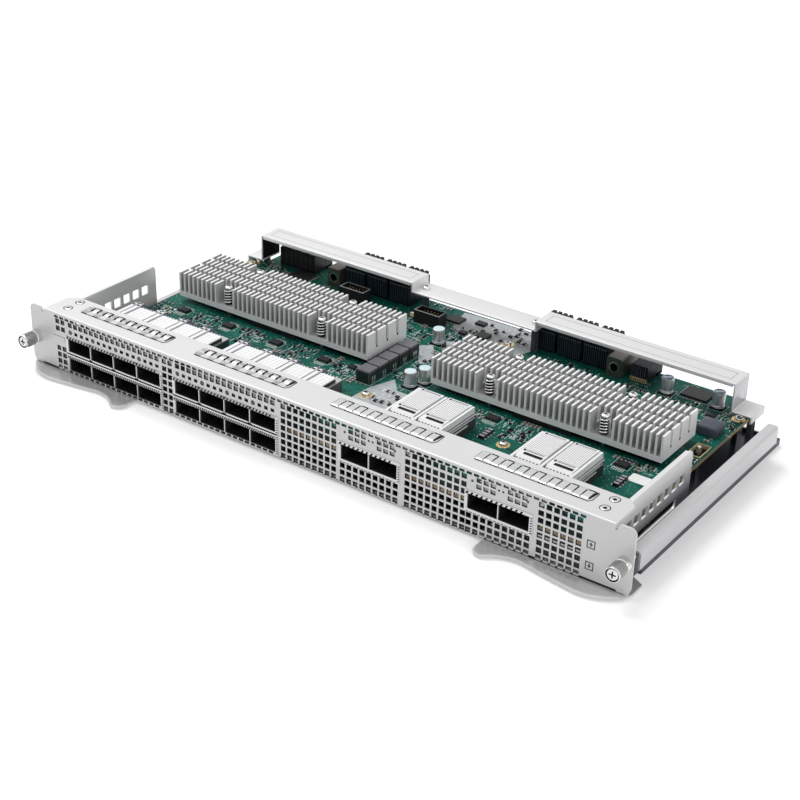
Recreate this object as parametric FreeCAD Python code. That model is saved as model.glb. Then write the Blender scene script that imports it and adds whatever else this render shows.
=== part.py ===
import FreeCAD, Part
import math
import os

from FreeCAD import Vector

# Switch line card: a tray with a perforated faceplate, a dense circuit board with optical port
# cages, two finned heat sinks, backplane connectors, a rear beam, two ejector levers and two
# captive thumbscrews.
# Frame: X left to right along the faceplate, Y from the faceplate's front face to the back,
# Z up from the tray's underside. All lengths are in millimetres.

# Faceplate, one folded sheet
SHEET = 1.2
EAR_WIDTH = 11.7
PLATE_BOTTOM = 2.1
FLANGE_TOP = 40.3
FLANGE_DEPTH = 24.7
FLANGE_CORNER = 5.0
EAR_TOP = 40.9
EAR_CORNER = 3.5
EAR_NOTCH_WIDTH = 1.6
EAR_NOTCH_DEPTH = 3.0
EAR_TAPER_WIDTH = 1.5
EAR_TAPER_HEIGHT = 4.0
FOLD_RADIUS = 1.4
HINGE_FLANGE_LENGTH = 81.0
HINGE_FLANGE_MARGIN = 4.0
HINGE_FLANGE_DEPTH = 15.0

# Grille of square holes, one block to the right of each of the last three port groups
HOLE = 3.4
HOLE_PITCH = 4.45
HOLE_LOWEST = 8.45
GRILLE_MARGINS = (4.7, 6.0, 5.7)
GRILLE_COLUMN_COUNTS = (9, 9, 6)
GRILLE_ROW_COUNT = 4

# Optical ports: two belly-to-belly groups, then two single-row groups, and the faceplate left
# of, between and right of them, which add up to its width between the ears
PORT_COUNTS = (4, 4, 2, 2)
STACKED_COUNT = 2
GROUP_GAPS = (19.4, 10.5, 44.7, 43.7, 47.1)
PORT_PITCH = 19.0
PORT_PARTING = 0.6
PORT_HEIGHT = 8.2
SINGLE_PORT_HEIGHT = 8.7
UPPER_PORT_SILL = 17.3
LOWER_PORT_SILL = 4.4
SINGLE_PORT_SILL = 17.0
CAGE_WALL = 0.4
CAGE_DEPTH = 60.0
SINGLE_CAGE_DEPTH = 74.0
CAGE_HEIGHT = 10.1
SINGLE_CAGE_HEIGHT = 10.4
WINDOW_GAP = 0.3
GASKET_THICKNESS = 0.5
GASKET_OVERLAP = 0.9
CONNECTOR_DEPTH = 14.0
CONNECTOR_SIDE_GAP = 0.3
CONNECTOR_HEADROOM = 2.4
RIDER_WIDTH = 15.6
RIDER_LENGTH = 32.5
RIDER_HEIGHT = 4.0
RIDER_SLOPE = 3.0
RIDER_NOSE = 1.35

# Light pipes over the stacked groups
PIPE_WIDTH = 3.0
PIPE_HEIGHT = 1.8
PIPE_RISE = 1.9
PIPE_TAIL = 2.0
PIPE_COUNT = 4
PIPE_CARRIERS = (20.0, 50.0)
PIPE_CARRIER_DEPTH = 4.0
PIPE_CARRIER_INSET = 1.0

# Conductive finger strips on the top flange
STRIP_OFFSETS = (-1.7, 2.9, 0.3, 11.9)
STRIP_LENGTH = 70.0
STRIP_DEPTH = 10.4
STRIP_FRONT = 9.8
STRIP_FOIL = 0.25
FINGER_COUNT = 8
FINGER_WIDTH = 7.4
FINGER_RISE = 0.95
FINGER_CREST = 0.36

# Tray, one folded sheet whose sides end in runner rails
TRAY_OVERHANG = 5.2
TRAY_SETBACK = 9.0
LIP_HEIGHT = 4.0
FRONT_LIP_TOP = 3.3
RAIL_FRONT = 11.0
RAIL_SETBACK = 19.0
RAIL_TOP = 22.0
RAIL_REACH = 5.0
RAIL_DROP = 10.6
LOW_RAIL_TOP = 5.4
LOW_RAIL_DROP = 2.6
RAIL_RADIUS = 1.8
LEVER_BAY_MARGIN = 3.0
LEVER_BAY_BACK = 24.0
LEVER_BAY_TOP = 3.3

# Side brackets
BRACKET_INSET = 4.8
BRACKET_FRONT = 3.0
BRACKET_BACK = 92.5
BRACKET_LIP = 2.6
BRACKET_CORNER = 4.0
BRACKET_STEP = 2.0
BRACKET_FOOT = 7.0
BRACKET_FOOT_FRONT = 30.0
BRACKET_TAB = 12.0
BRACKET_TAB_FRONT = 5.0
BRACKET_TAB_SETBACK = 1.0
VENT_COUNT = 8
VENT_PITCH = 8.3
VENT_FIRST = 21.0
VENT_WIDTH = 5.8
VENT_SILL = 22.0
VENT_HEIGHT = 6.0
SLOT_FRONT = 32.0
SLOT_LENGTH = 45.5
SLOT_SILL = 10.2
SLOT_HEIGHT = 5.6

# Circuit board and its supports
BOARD_TOP = 16.1
BOARD_THICKNESS = 2.4
BOARD_MARGIN = 11.6
BOARD_FRONT = 10.0
BOARD_BACK = 202.0
NOTCH_WIDTH = 11.4
NOTCH_DEPTH = 19.0
BOARD_SLOT_MARGIN = 2.3
BOARD_SLOT_WIDTH = 7.4
BOARD_SLOT_LENGTH = 14.0
BOARD_SLOT_SETBACK = 64.0
BOARD_SLOT_CORNER = 1.5
STANDOFF_RADIUS = 3.1
STANDOFF_INSET = 4.2
STANDOFF_FRONT_ROW = 66.0
STANDOFF_MIDDLE_ROW = 68.6
STANDOFF_SETBACK = 24.0
STANDOFFS_MIDDLE = (91.4, -4.0)
STANDOFFS_REAR = (-47.0, 25.0)
FASTENER_SIDES = 6
SCREW_SHANK = 1.25
SCREW_HOLE = 1.35
SCREW_HEAD = 2.5
SCREW_HEAD_HEIGHT = 1.9
SCREW_DEPTH = 6.0

# Rear beam, one folded strap
BEAM_DEPTH = 18.5
BEAM_SETBACK = 2.5
BEAM_TOP = 40.6
BEAM_LOW = 34.6
BEAM_LEFT_INSET = 27.8
BEAM_RIGHT_INSET = 17.7
BEAM_LOW_LEFT = -44.5
BEAM_LOW_RIGHT = 46.8
BEAM_LIP = 2.4
BEAM_LIP_INSET = 2.0
BEAM_FOOT_TOP = 23.2
BEAM_FOOT_REACH = 12.0
BEAM_FOOT_LIP = 5.0
BEAM_POST_RADIUS = 2.6
BEAM_POST_GAP = 0.4
BEAM_SCREW_INSET = 4.5

# Heat sinks, the chips under them and their sprung screws
SINK_CENTRES = (-101.5, 97.6)
SINK_FRONT = 98.5
SINK_DEPTH = 40.5
SINK_BASE_BOTTOM = 20.1
SINK_BASE = 3.5
SINK_TOP = 36.6
FIN_COUNT = 41
FIN_PITCH = 3.78
FIN_THICKNESS = 1.35
SINK_SCREW_SPREAD = 75.6
SINK_SCREW_INSET = 4.6
SINK_NOTCH_WIDTH = 9.7
SINK_NOTCH_DEPTH = 9.9
SINK_SCREW_SHANK = 1.4
SINK_SCREW_GAP = 0.1
SINK_SCREW_HEAD = 2.7
SINK_SCREW_TOP = 35.9
SPRING_OUTER = 2.6
SPRING_WIRE = 0.7
CHIP_SIDE = 38.0
CHIP_HEIGHT = 3.2
PAD_SIDE = 34.0

# Backplane connectors: those that end past the board's rear edge by their reach
PLUG_DEPTH = 23.5
PLUG_REACH = 6.0
PLUG_TOP = 33.4
PLUG_WIDTH = 16.2
PLUG_PITCH = 18.2
PLUG_COUNT = 3
PLUG_STARTS = (-107.9, 38.6)
PLUG_RIB = 1.2
PLUG_RIB_COUNT = 5
GUIDE_WIDTH = 10.2
GUIDE_HEIGHT = 12.6
GUIDE_LENGTH = 25.0
GUIDE_REACH = 3.0
GUIDE_BORE = 2.8
GUIDE_PLACES = (-114.3, 98.8)

# Low connectors: left end, width, depth, reach past the board's edge, height
POWER_PLUG = (-166.0, 30.0, 20.0, 5.0, 14.0)
SIGNAL_PLUG = (108.4, 11.2, 20.5, 2.0, 10.5)
SIDE_PLUG_WALL = 1.5
SIDE_PLUG_FLOOR = 2.0
SIDE_PLUG_MOUTH = 8.0

# Parts on the board: centre X, centre Y, width, depth, height
FRONT_CHIPS = (
    (78.0, 72.0, 6.5, 10.0, 1.8), (163.0, 73.0, 6.5, 10.0, 1.8), (155.0, 89.5, 8.0, 5.0, 1.8),
    (71.0, 90.0, 8.0, 5.0, 1.8), (-127.0, 88.5, 8.0, 5.0, 1.8), (-165.0, 88.5, 8.0, 5.0, 1.8),
    (-88.5, 88.5, 8.0, 5.0, 1.8), (-50.5, 88.5, 8.0, 5.0, 1.8), (-31.0, 91.5, 5.0, 4.0, 1.5),
    (15.0, 138.0, 9.0, 9.0, 1.4),
)
# Centre X, distance from the board's rear edge to the centre, width, depth, height
REAR_CHIPS = (
    (-140.0, 24.5, 15.0, 15.0, 1.6), (-20.0, 15.5, 11.0, 9.0, 1.4), (-3.5, 10.5, 7.0, 5.0, 1.5),
    (150.4, 12.0, 17.0, 13.0, 1.6), (132.0, 36.0, 7.0, 7.0, 1.8), (8.0, 26.0, 8.0, 8.0, 2.2),
    (-5.0, 29.5, 5.0, 4.0, 2.0), (168.0, 30.5, 6.0, 4.0, 1.5),
)
INDUCTOR_SIDE = 9.5
INDUCTOR_HEIGHT = 8.2
INDUCTOR_PITCH = 10.6
INDUCTOR_COUNT = 5
INDUCTOR_FIRST = (-14.8, 84.4)
LARGE_INDUCTOR = (176.2, 48.5, 12.6, 12.6, 6.4)
CAN_RADIUS = 4.0
CAN_HEIGHT = 10.5
CAN_BASE = 1.2
CAN_GAP = 0.1
CAN_SIDES = 12
FRONT_CANS = ((14.6, 102.3), (10.2, 93.4))
REAR_CANS = ((-9.6, 50.1), (134.2, 20.4), (166.6, 18.0))
HEADER_WIDTH = 19.4
HEADER_DEPTH = 9.0
HEADER_HEIGHT = 8.6
HEADER_PLACES = ((-89.9, 30.4), (-30.5, 29.4))
HEADER_WALL = 1.1
HEADER_FLOOR = 2.0
HEADER_PIN_DROP = 1.0
HEADER_PIN = 0.64
HEADER_PIN_PITCH = 2.54
HEADER_PIN_COLUMNS = 5

# Ejector levers, flat polished plates under the faceplate
LEVER_BOTTOM = 0.8
LEVER_THICKNESS = 1.2
LEVER_GAP = 0.1
PIVOT_INSET = 12.0
PIVOT_DEPTH = 8.0
PIVOT_RADIUS = 2.5
PIVOT_HEAD = 3.8
PIVOT_HEAD_SIDES = 12
PIVOT_RIVET = 1.6
LEVER_REACH = 74.0
# Finger edge of the lever from its tip: distance along X, and Y
LEVER_FRONT_EDGE = (
    (0.0, -8.5), (3.6, -14.0), (10.0, -12.0), (18.0, -7.6), (29.4, -7.0), (46.0, -9.9),
    (61.0, -12.0), (74.0, -9.2), (83.5, -2.0),
)
# Nose of the lever and its neck behind the pivot: distance along X from the pivot, and Y
LEVER_NOSE_EDGE = ((11.6, 3.0), (11.6, 13.6), (5.0, 17.2), (-6.0, 14.0), (-10.0, 7.0))
LEVER_REAR_EDGE = ((3.0, 6.4), (0.0, 3.0))

# Captive thumbscrews
THUMB_INSET = 4.7
THUMB_HEIGHT = 20.0
THUMB_HEAD_RADIUS = 4.2
THUMB_HEAD_FRONT = -12.6
THUMB_HEAD_BACK = -4.2
THUMB_NECK = 2.6
THUMB_THREAD = 1.75
THUMB_THREAD_END = 9.0
THUMB_KNURLS = 24
THUMB_SLOT_WIDTH = 1.1
THUMB_SLOT_DEPTH = 1.6
THUMB_SLOT_REACH = 0.65
COLLAR_RADIUS = 4.4
COLLAR_SIDES = 16
COLLAR_GAP = 0.08
COLLAR_CLEARANCE = 0.3

# Flange screws: places along X and Y, on both sides
FLANGE_SCREW_INSET = 11.3
FLANGE_SCREW_ROWS = (9.8, 19.8)
FLUSH_HEAD = 2.7
FLUSH_GAP = 0.1
FLUSH_SHANK = 1.5

# How far a cutting tool stands out of what it cuts
OVERCUT = 1.0

# Sizes that follow from those above
HALF_BODY = (sum(GROUP_GAPS) + sum(PORT_COUNTS) * PORT_PITCH) / 2 + len(PORT_COUNTS) * CAGE_WALL
HALF_CARD = HALF_BODY + EAR_WIDTH
HALF_TRAY = HALF_BODY + TRAY_OVERHANG
HALF_BOARD = HALF_BODY - BOARD_MARGIN
PORT_WIDTH = PORT_PITCH - PORT_PARTING
TRAY_BACK = BOARD_BACK - TRAY_SETBACK
RAIL_BACK = TRAY_BACK - RAIL_SETBACK
BEAM_BACK = TRAY_BACK - BEAM_SETBACK
BEAM_FRONT = BEAM_BACK - BEAM_DEPTH
BEAM_LEFT = BEAM_LEFT_INSET - HALF_BODY
BEAM_RIGHT = HALF_BODY - BEAM_RIGHT_INSET
BRACKET_PLACE = HALF_BODY - BRACKET_INSET
FLANGE_SCREW_PLACE = HALF_BODY - FLANGE_SCREW_INSET
THUMB_PLACE = HALF_CARD - THUMB_INSET
PIVOT_PLACE = HALF_CARD - PIVOT_INSET
HINGE_FLANGE_OUTER = PIVOT_PLACE + HINGE_FLANGE_MARGIN
HINGE_FLANGE_INNER = HINGE_FLANGE_OUTER - HINGE_FLANGE_LENGTH
LEVER_BAY_INNER = HINGE_FLANGE_INNER - LEVER_BAY_MARGIN
BOARD_UNDERSIDE = BOARD_TOP - BOARD_THICKNESS
FLANGE_UNDERSIDE = FLANGE_TOP - SHEET
WINDOW_BOTTOM = BOARD_UNDERSIDE - CAGE_HEIGHT - WINDOW_GAP
SINK_LENGTH = (FIN_COUNT - 1) * FIN_PITCH + FIN_THICKNESS
SINK_BASE_TOP = SINK_BASE_BOTTOM + SINK_BASE
LEVER_TOP = LEVER_BOTTOM + LEVER_THICKNESS


def box(x0, x1, y0, y1, z0, z1):
    """A block between two corners."""
    return Part.makeBox(x1 - x0, y1 - y0, z1 - z0, Vector(x0, y0, z0))


def rod(radius, start, end):
    """A round bar between two points."""
    axis = end.sub(start)
    return Part.makeCylinder(radius, axis.Length, start, axis)


def upright(radius, x, y, z0, z1):
    """A vertical round bar."""
    return rod(radius, Vector(x, y, z0), Vector(x, y, z1))


def extrude(points, direction):
    """A prism on a closed outline."""
    return Part.Face(Part.makePolygon(points + [points[0]])).extrude(direction)


def outline_xz(points, y0, y1):
    """A sheet section drawn in X and Z, drawn out along Y."""
    return extrude([Vector(x, y0, z) for x, z in points], Vector(0, y1 - y0, 0))


def outline_yz(points, x0, x1):
    """A section drawn in Y and Z, drawn out along X."""
    return extrude([Vector(x0, y, z) for y, z in points], Vector(x1 - x0, 0, 0))


def post(sides, radius, x, y, z0, z1):
    """A vertical bar with flat sides, as small posts and fasteners are drawn."""
    turns = [2 * math.pi * corner / sides for corner in range(sides)]
    corners = [Vector(x + radius * math.cos(a), y + radius * math.sin(a), z0) for a in turns]
    return extrude(corners, Vector(0, 0, z1 - z0))


def cross_bar(sides, radius, x, z, y0, y1):
    """A bar with flat sides along Y."""
    turns = [2 * math.pi * corner / sides for corner in range(sides)]
    corners = [Vector(x + radius * math.cos(a), y0, z + radius * math.sin(a)) for a in turns]
    return extrude(corners, Vector(0, y1 - y0, 0))


def screw(x, y, seat, depth):
    """A pan-head screw with its head on the height seat."""
    head = post(FASTENER_SIDES, SCREW_HEAD, x, y, seat, seat + SCREW_HEAD_HEIGHT)
    return head.fuse(post(FASTENER_SIDES, SCREW_SHANK, x, y, seat - depth, seat))


def screw_hole(x, y, z0, z1):
    """The clearance hole of a screw."""
    return post(FASTENER_SIDES, SCREW_HOLE, x, y, z0, z1)


def mirrored(shape):
    """The same shape on the other side of the card."""
    return shape.mirror(Vector(0, 0, 0), Vector(1, 0, 0))


def both_sides(shape):
    """A shape and its mirror image."""
    return [shape, mirrored(shape)]


def chosen_edges(shape, wanted):
    """The edges whose middle and direction pass the test wanted(middle, direction)."""
    edges = []
    for edge in shape.Edges:
        ends = edge.Vertexes[-1].Point.sub(edge.Vertexes[0].Point)
        if ends.Length > 0 and wanted(edge.CenterOfMass, ends.normalize()):
            edges.append(edge)
    return edges


def rounded(shape, radius, wanted):
    """Fillets the chosen edges."""
    return shape.makeFillet(radius, chosen_edges(shape, wanted))


def chamfered(shape, size, wanted):
    """Chamfers the chosen edges."""
    return shape.makeChamfer(size, chosen_edges(shape, wanted))


def export(name, solids):
    """Writes one node, a single solid or a group of like solids."""
    shape = solids[0] if len(solids) == 1 else Part.makeCompound(solids)
    shape.exportStep("parts/" + name + ".step")


def port_centres(centre, count):
    """X of each port in a group."""
    return [centre + (i - (count - 1) / 2) * PORT_PITCH for i in range(count)]


def group_span(centre, count):
    """Outer X of a group's cage."""
    half = count * PORT_PITCH / 2 + CAGE_WALL
    return centre - half, centre + half


def group_places():
    """Centre X and ports per row of each group, from left to right."""
    places = []
    left = -HALF_BODY
    for gap, count in zip(GROUP_GAPS, PORT_COUNTS):
        width = count * PORT_PITCH + 2 * CAGE_WALL
        places.append((left + gap + width / 2, count))
        left += gap + width
    return places


def all_groups():
    """Centre, ports, lowest and highest window edge, and row sills of each group."""
    groups = []
    for centre, count in group_places()[:STACKED_COUNT]:
        rows = ((LOWER_PORT_SILL, PORT_HEIGHT), (UPPER_PORT_SILL, PORT_HEIGHT))
        groups.append((centre, count, WINDOW_BOTTOM, BOARD_TOP + CAGE_HEIGHT + WINDOW_GAP, rows))
    for centre, count in group_places()[STACKED_COUNT:]:
        rows = ((SINGLE_PORT_SILL, SINGLE_PORT_HEIGHT),)
        top = BOARD_TOP + SINGLE_CAGE_HEIGHT + WINDOW_GAP
        groups.append((centre, count, BOARD_TOP - WINDOW_GAP, top, rows))
    return groups


def grille_holes():
    """Square holes of the faceplate, block by block."""
    holes = []
    half = HOLE / 2
    for place, margin, columns in zip(group_places()[1:], GRILLE_MARGINS, GRILLE_COLUMN_COUNTS):
        first = group_span(*place)[1] + margin
        for row in range(GRILLE_ROW_COUNT):
            z = HOLE_LOWEST + row * HOLE_PITCH
            for column in range(columns):
                x = first + column * HOLE_PITCH
                holes.append(box(x - half, x + half, -SHEET, 2 * SHEET, z - half, z + half))
    return holes


def make_faceplate():
    """Front sheet with ears, top flange and the two hinge flanges, folded from one piece."""
    notch = HALF_BODY + EAR_NOTCH_WIDTH
    half_outline = [
        (HALF_BODY, PLATE_BOTTOM), (HALF_CARD - EAR_TAPER_WIDTH, PLATE_BOTTOM),
        (HALF_CARD, PLATE_BOTTOM + EAR_TAPER_HEIGHT), (HALF_CARD, EAR_TOP), (notch, EAR_TOP),
        (notch, FLANGE_TOP - EAR_NOTCH_DEPTH),
        (HALF_BODY, FLANGE_TOP - EAR_NOTCH_DEPTH), (HALF_BODY, FLANGE_TOP),
    ]
    outline = half_outline + [(-x, z) for x, z in reversed(half_outline)]
    sheet = outline_xz(outline, 0, SHEET)
    sheet = rounded(sheet, EAR_CORNER, lambda p, d: abs(d.y) > 0.9 and abs(p.z - EAR_TOP) < 0.01)
    corner = FLANGE_CORNER
    flange = extrude(
        [
            Vector(-HALF_BODY, 0, FLANGE_UNDERSIDE), Vector(HALF_BODY, 0, FLANGE_UNDERSIDE),
            Vector(HALF_BODY, FLANGE_DEPTH - corner, FLANGE_UNDERSIDE),
            Vector(HALF_BODY - corner, FLANGE_DEPTH, FLANGE_UNDERSIDE),
            Vector(corner - HALF_BODY, FLANGE_DEPTH, FLANGE_UNDERSIDE),
            Vector(-HALF_BODY, FLANGE_DEPTH - corner, FLANGE_UNDERSIDE),
        ],
        Vector(0, 0, SHEET),
    )
    hinge = box(
        HINGE_FLANGE_INNER, HINGE_FLANGE_OUTER, 0, HINGE_FLANGE_DEPTH, PLATE_BOTTOM, PLATE_BOTTOM + SHEET
    )
    plate = sheet.fuse([flange] + both_sides(hinge)).removeSplitter()
    plate = rounded(
        plate, FOLD_RADIUS,
        lambda p, d: abs(d.x) > 0.9 and abs(p.y) < 0.01 and abs(p.z - FLANGE_TOP) < 0.01,
    )
    cuts = grille_holes()
    for centre, count, low, high, _ in all_groups():
        left, right = group_span(centre, count)
        cuts.append(box(left - WINDOW_GAP, right + WINDOW_GAP, -SHEET, 2 * SHEET, low, high))
    thumb_hole = cross_bar(
        THUMB_KNURLS // 2, THUMB_NECK, THUMB_PLACE, THUMB_HEIGHT, -SHEET, 2 * SHEET
    )
    rivet_hole = post(
        FASTENER_SIDES, PIVOT_RIVET, PIVOT_PLACE, PIVOT_DEPTH, 0, PLATE_BOTTOM + 2 * SHEET
    )
    cuts += both_sides(thumb_hole) + both_sides(rivet_hole)
    for y in FLANGE_SCREW_ROWS:
        seat = post(
            FASTENER_SIDES, FLUSH_HEAD + FLUSH_GAP, FLANGE_SCREW_PLACE, y,
            FLANGE_UNDERSIDE - OVERCUT, FLANGE_TOP + OVERCUT,
        )
        cuts += both_sides(seat)
    return plate.cut(cuts)


def make_flange_screws():
    """Flush screws that hold the top flange to the side brackets."""
    screws = []
    low = FLANGE_UNDERSIDE - SHEET - FLUSH_SHANK
    for y in FLANGE_SCREW_ROWS:
        head = post(FASTENER_SIDES, FLUSH_HEAD, FLANGE_SCREW_PLACE, y, FLANGE_UNDERSIDE, FLANGE_TOP)
        shank = post(FASTENER_SIDES, SCREW_SHANK, FLANGE_SCREW_PLACE, y, low, FLANGE_UNDERSIDE)
        screws += both_sides(head.fuse(shank))
    return screws


def make_port_gasket(group):
    """Thin conductive frame round a group's openings, on the faceplate's front face."""
    centre, count, low, high, rows = group
    left, right = group_span(centre, count)
    reach = GASKET_OVERLAP + WINDOW_GAP
    frame = box(
        left - reach, right + reach, -GASKET_THICKNESS, 0,
        low - GASKET_OVERLAP, high + GASKET_OVERLAP,
    )
    openings = []
    for sill, height in rows:
        for x in port_centres(centre, count):
            half = PORT_WIDTH / 2
            openings.append(box(x - half, x + half, -OVERCUT, OVERCUT, sill, sill + height))
    return frame.cut(openings)


def make_cage(centre, count, bottom, height, depth):
    """A folded metal cage, open at the front, with a wall between neighbouring ports."""
    left, right = group_span(centre, count)
    cage = box(left, right, 0, depth, bottom, bottom + height)
    half = (PORT_PITCH - CAGE_WALL) / 2
    bays = [
        box(
            x - half, x + half, -OVERCUT, depth - CAGE_WALL,
            bottom + CAGE_WALL, bottom + height - CAGE_WALL,
        )
        for x in port_centres(centre, count)
    ]
    return cage.cut(bays)


def make_port_connectors(centre, count, bottom, height, depth):
    """The moulded edge connector at the back of each port."""
    connectors = []
    back = depth - CAGE_WALL
    front = back - CONNECTOR_DEPTH
    top = bottom + height - CONNECTOR_HEADROOM
    for x in port_centres(centre, count):
        half = PORT_PITCH / 2 - CAGE_WALL - CONNECTOR_SIDE_GAP
        connectors.append(box(x - half, x + half, front, back, bottom + CAGE_WALL, top))
    return connectors


def make_cage_riders(centre, count):
    """Flat finned caps that ride on a single-row cage, one over each port."""
    bottom = BOARD_TOP + SINGLE_CAGE_HEIGHT
    riders = []
    for x in port_centres(centre, count):
        half = RIDER_WIDTH / 2
        back = SINGLE_CAGE_DEPTH
        front = back - RIDER_LENGTH
        section = [
            (front, bottom), (back, bottom), (back, bottom + RIDER_HEIGHT),
            (front + RIDER_SLOPE, bottom + RIDER_HEIGHT), (front, bottom + RIDER_NOSE),
        ]
        riders.append(outline_yz(section, x - half, x + half))
    return riders


def make_light_pipes(centre, count):
    """Clear pipes from the board's lamps over the cage to the faceplate, and their carriers."""
    cage_top = BOARD_TOP + CAGE_HEIGHT
    top = cage_top + PIPE_RISE + PIPE_HEIGHT
    tail = CAGE_DEPTH + WINDOW_GAP
    section = [
        (SHEET + WINDOW_GAP, top - PIPE_HEIGHT), (tail, top - PIPE_HEIGHT), (tail, BOARD_TOP),
        (tail + PIPE_TAIL, BOARD_TOP), (tail + PIPE_TAIL, top), (SHEET + WINDOW_GAP, top),
    ]
    pitch = PORT_PITCH / PIPE_COUNT
    pieces = []
    for x in port_centres(centre, count):
        for i in range(PIPE_COUNT):
            start = x + (i - PIPE_COUNT / 2) * pitch + (pitch - PIPE_WIDTH) / 2
            pieces.append(outline_yz(section, start, start + PIPE_WIDTH))
    left, right = group_span(centre, count)
    for y in PIPE_CARRIERS:
        pieces.append(
            box(
                left + PIPE_CARRIER_INSET, right - PIPE_CARRIER_INSET, y, y + PIPE_CARRIER_DEPTH,
                cage_top, top - PIPE_HEIGHT,
            )
        )
    return pieces


def make_gasket_strip(centre):
    """A foil strip with a row of spring fingers, clipped on the top flange."""
    left = centre - STRIP_LENGTH / 2
    front = STRIP_FRONT
    back = front + STRIP_DEPTH
    base = FLANGE_TOP + STRIP_FOIL
    strip = box(left, left + STRIP_LENGTH, front, back, FLANGE_TOP, base)
    top = base + FINGER_RISE
    inset = STRIP_DEPTH * FINGER_CREST
    section = [(front, base), (front + inset, top), (back - inset, top), (back, base)]
    pitch = STRIP_LENGTH / FINGER_COUNT
    fingers = []
    for i in range(FINGER_COUNT):
        start = left + i * pitch + (pitch - FINGER_WIDTH) / 2
        fingers.append(outline_yz(section, start, start + FINGER_WIDTH))
    return strip.fuse(fingers).removeSplitter()


def make_rail(top, drop):
    """A side rail in the form of an inverted J, from the tray's side wall outwards."""
    wall = HALF_TRAY - SHEET
    outer = HALF_TRAY + RAIL_REACH
    rail = outline_xz(
        [
            (wall, 0), (HALF_TRAY, 0), (HALF_TRAY, top - SHEET),
            (outer - SHEET, top - SHEET), (outer - SHEET, top - drop),
            (outer, top - drop), (outer, top), (wall, top),
        ],
        RAIL_FRONT, RAIL_BACK,
    )
    return rounded(
        rail, RAIL_RADIUS, lambda p, d: abs(d.y) > 0.9 and abs(p.z - top) < 0.01 and p.x > HALF_TRAY
    )


def make_tray():
    """Floor and low lips, with a high rail on the right and a low one on the left, one sheet."""
    wall = HALF_TRAY - SHEET
    floor = box(-HALF_TRAY, HALF_TRAY, SHEET, TRAY_BACK, 0, SHEET)
    rear_lip = box(-HALF_TRAY, HALF_TRAY, TRAY_BACK - SHEET, TRAY_BACK, 0, LIP_HEIGHT)
    front_lip = box(-LEVER_BAY_INNER, LEVER_BAY_INNER, SHEET, 2 * SHEET, 0, FRONT_LIP_TOP)
    side_lip = box(wall, HALF_TRAY, RAIL_BACK, TRAY_BACK, 0, LIP_HEIGHT)
    high_rail = make_rail(RAIL_TOP, RAIL_DROP)
    low_rail = mirrored(make_rail(LOW_RAIL_TOP, LOW_RAIL_DROP))
    bay = box(LEVER_BAY_INNER, HALF_TRAY + OVERCUT, 0, LEVER_BAY_BACK, -OVERCUT, LEVER_BAY_TOP)
    tray = floor.fuse([rear_lip, front_lip, high_rail, low_rail] + both_sides(side_lip))
    return tray.cut(both_sides(bay)).removeSplitter()


def make_bracket():
    """The right side bracket: vented plate with a top lip, a tab under the flange and a foot."""
    outer = BRACKET_PLACE + SHEET / 2
    inner = outer - SHEET
    top = FLANGE_UNDERSIDE
    low = LEVER_BAY_TOP + LEVER_GAP
    step = LEVER_BAY_BACK + BRACKET_STEP
    plate = outline_yz(
        [
            (BRACKET_FRONT, low), (step, low), (step, SHEET),
            (BRACKET_BACK, SHEET), (BRACKET_BACK, top), (BRACKET_FRONT, top),
        ],
        inner, outer,
    )
    plate = rounded(
        plate, BRACKET_CORNER,
        lambda p, d: abs(d.x) > 0.9 and abs(p.y - BRACKET_BACK) < 0.01 and p.z > RAIL_TOP,
    )
    lip = box(
        outer - BRACKET_LIP, outer, FLANGE_DEPTH, BRACKET_BACK - BRACKET_CORNER, top - SHEET, top
    )
    tab = box(
        outer - BRACKET_TAB, outer, BRACKET_TAB_FRONT, FLANGE_DEPTH - BRACKET_TAB_SETBACK,
        top - SHEET, top,
    )
    foot = box(
        outer - BRACKET_FOOT, outer, BRACKET_FOOT_FRONT, BRACKET_BACK - BRACKET_CORNER,
        SHEET, 2 * SHEET,
    )
    near = inner - OVERCUT
    far = outer + OVERCUT
    cuts = []
    for i in range(VENT_COUNT):
        y = VENT_FIRST + i * VENT_PITCH
        cuts.append(box(near, far, y, y + VENT_WIDTH, VENT_SILL, VENT_SILL + VENT_HEIGHT))
    middle = SLOT_SILL + SLOT_HEIGHT / 2
    radius = SLOT_HEIGHT / 2
    end = SLOT_FRONT + SLOT_LENGTH - radius
    slot = box(near, far, SLOT_FRONT, end, SLOT_SILL, SLOT_SILL + SLOT_HEIGHT)
    nose = rod(radius, Vector(near, end, middle), Vector(far, end, middle))
    cuts.append(slot.fuse(nose))
    for y in FLANGE_SCREW_ROWS:
        cuts.append(screw_hole(FLANGE_SCREW_PLACE, y, top - 2 * SHEET, top + OVERCUT))
    return plate.fuse([lip, tab, foot]).cut(cuts).removeSplitter()


def standoff_places():
    """X and Y of the board's standoffs: by its edges, and between the rows of parts."""
    edge = HALF_BOARD - STANDOFF_INSET
    rear = BOARD_BACK - STANDOFF_SETBACK
    places = [(x, y) for x in (-edge, edge) for y in (STANDOFF_FRONT_ROW, rear)]
    places += [(x, STANDOFF_MIDDLE_ROW) for x in STANDOFFS_MIDDLE]
    places += [(x, rear) for x in STANDOFFS_REAR]
    return places


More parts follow.
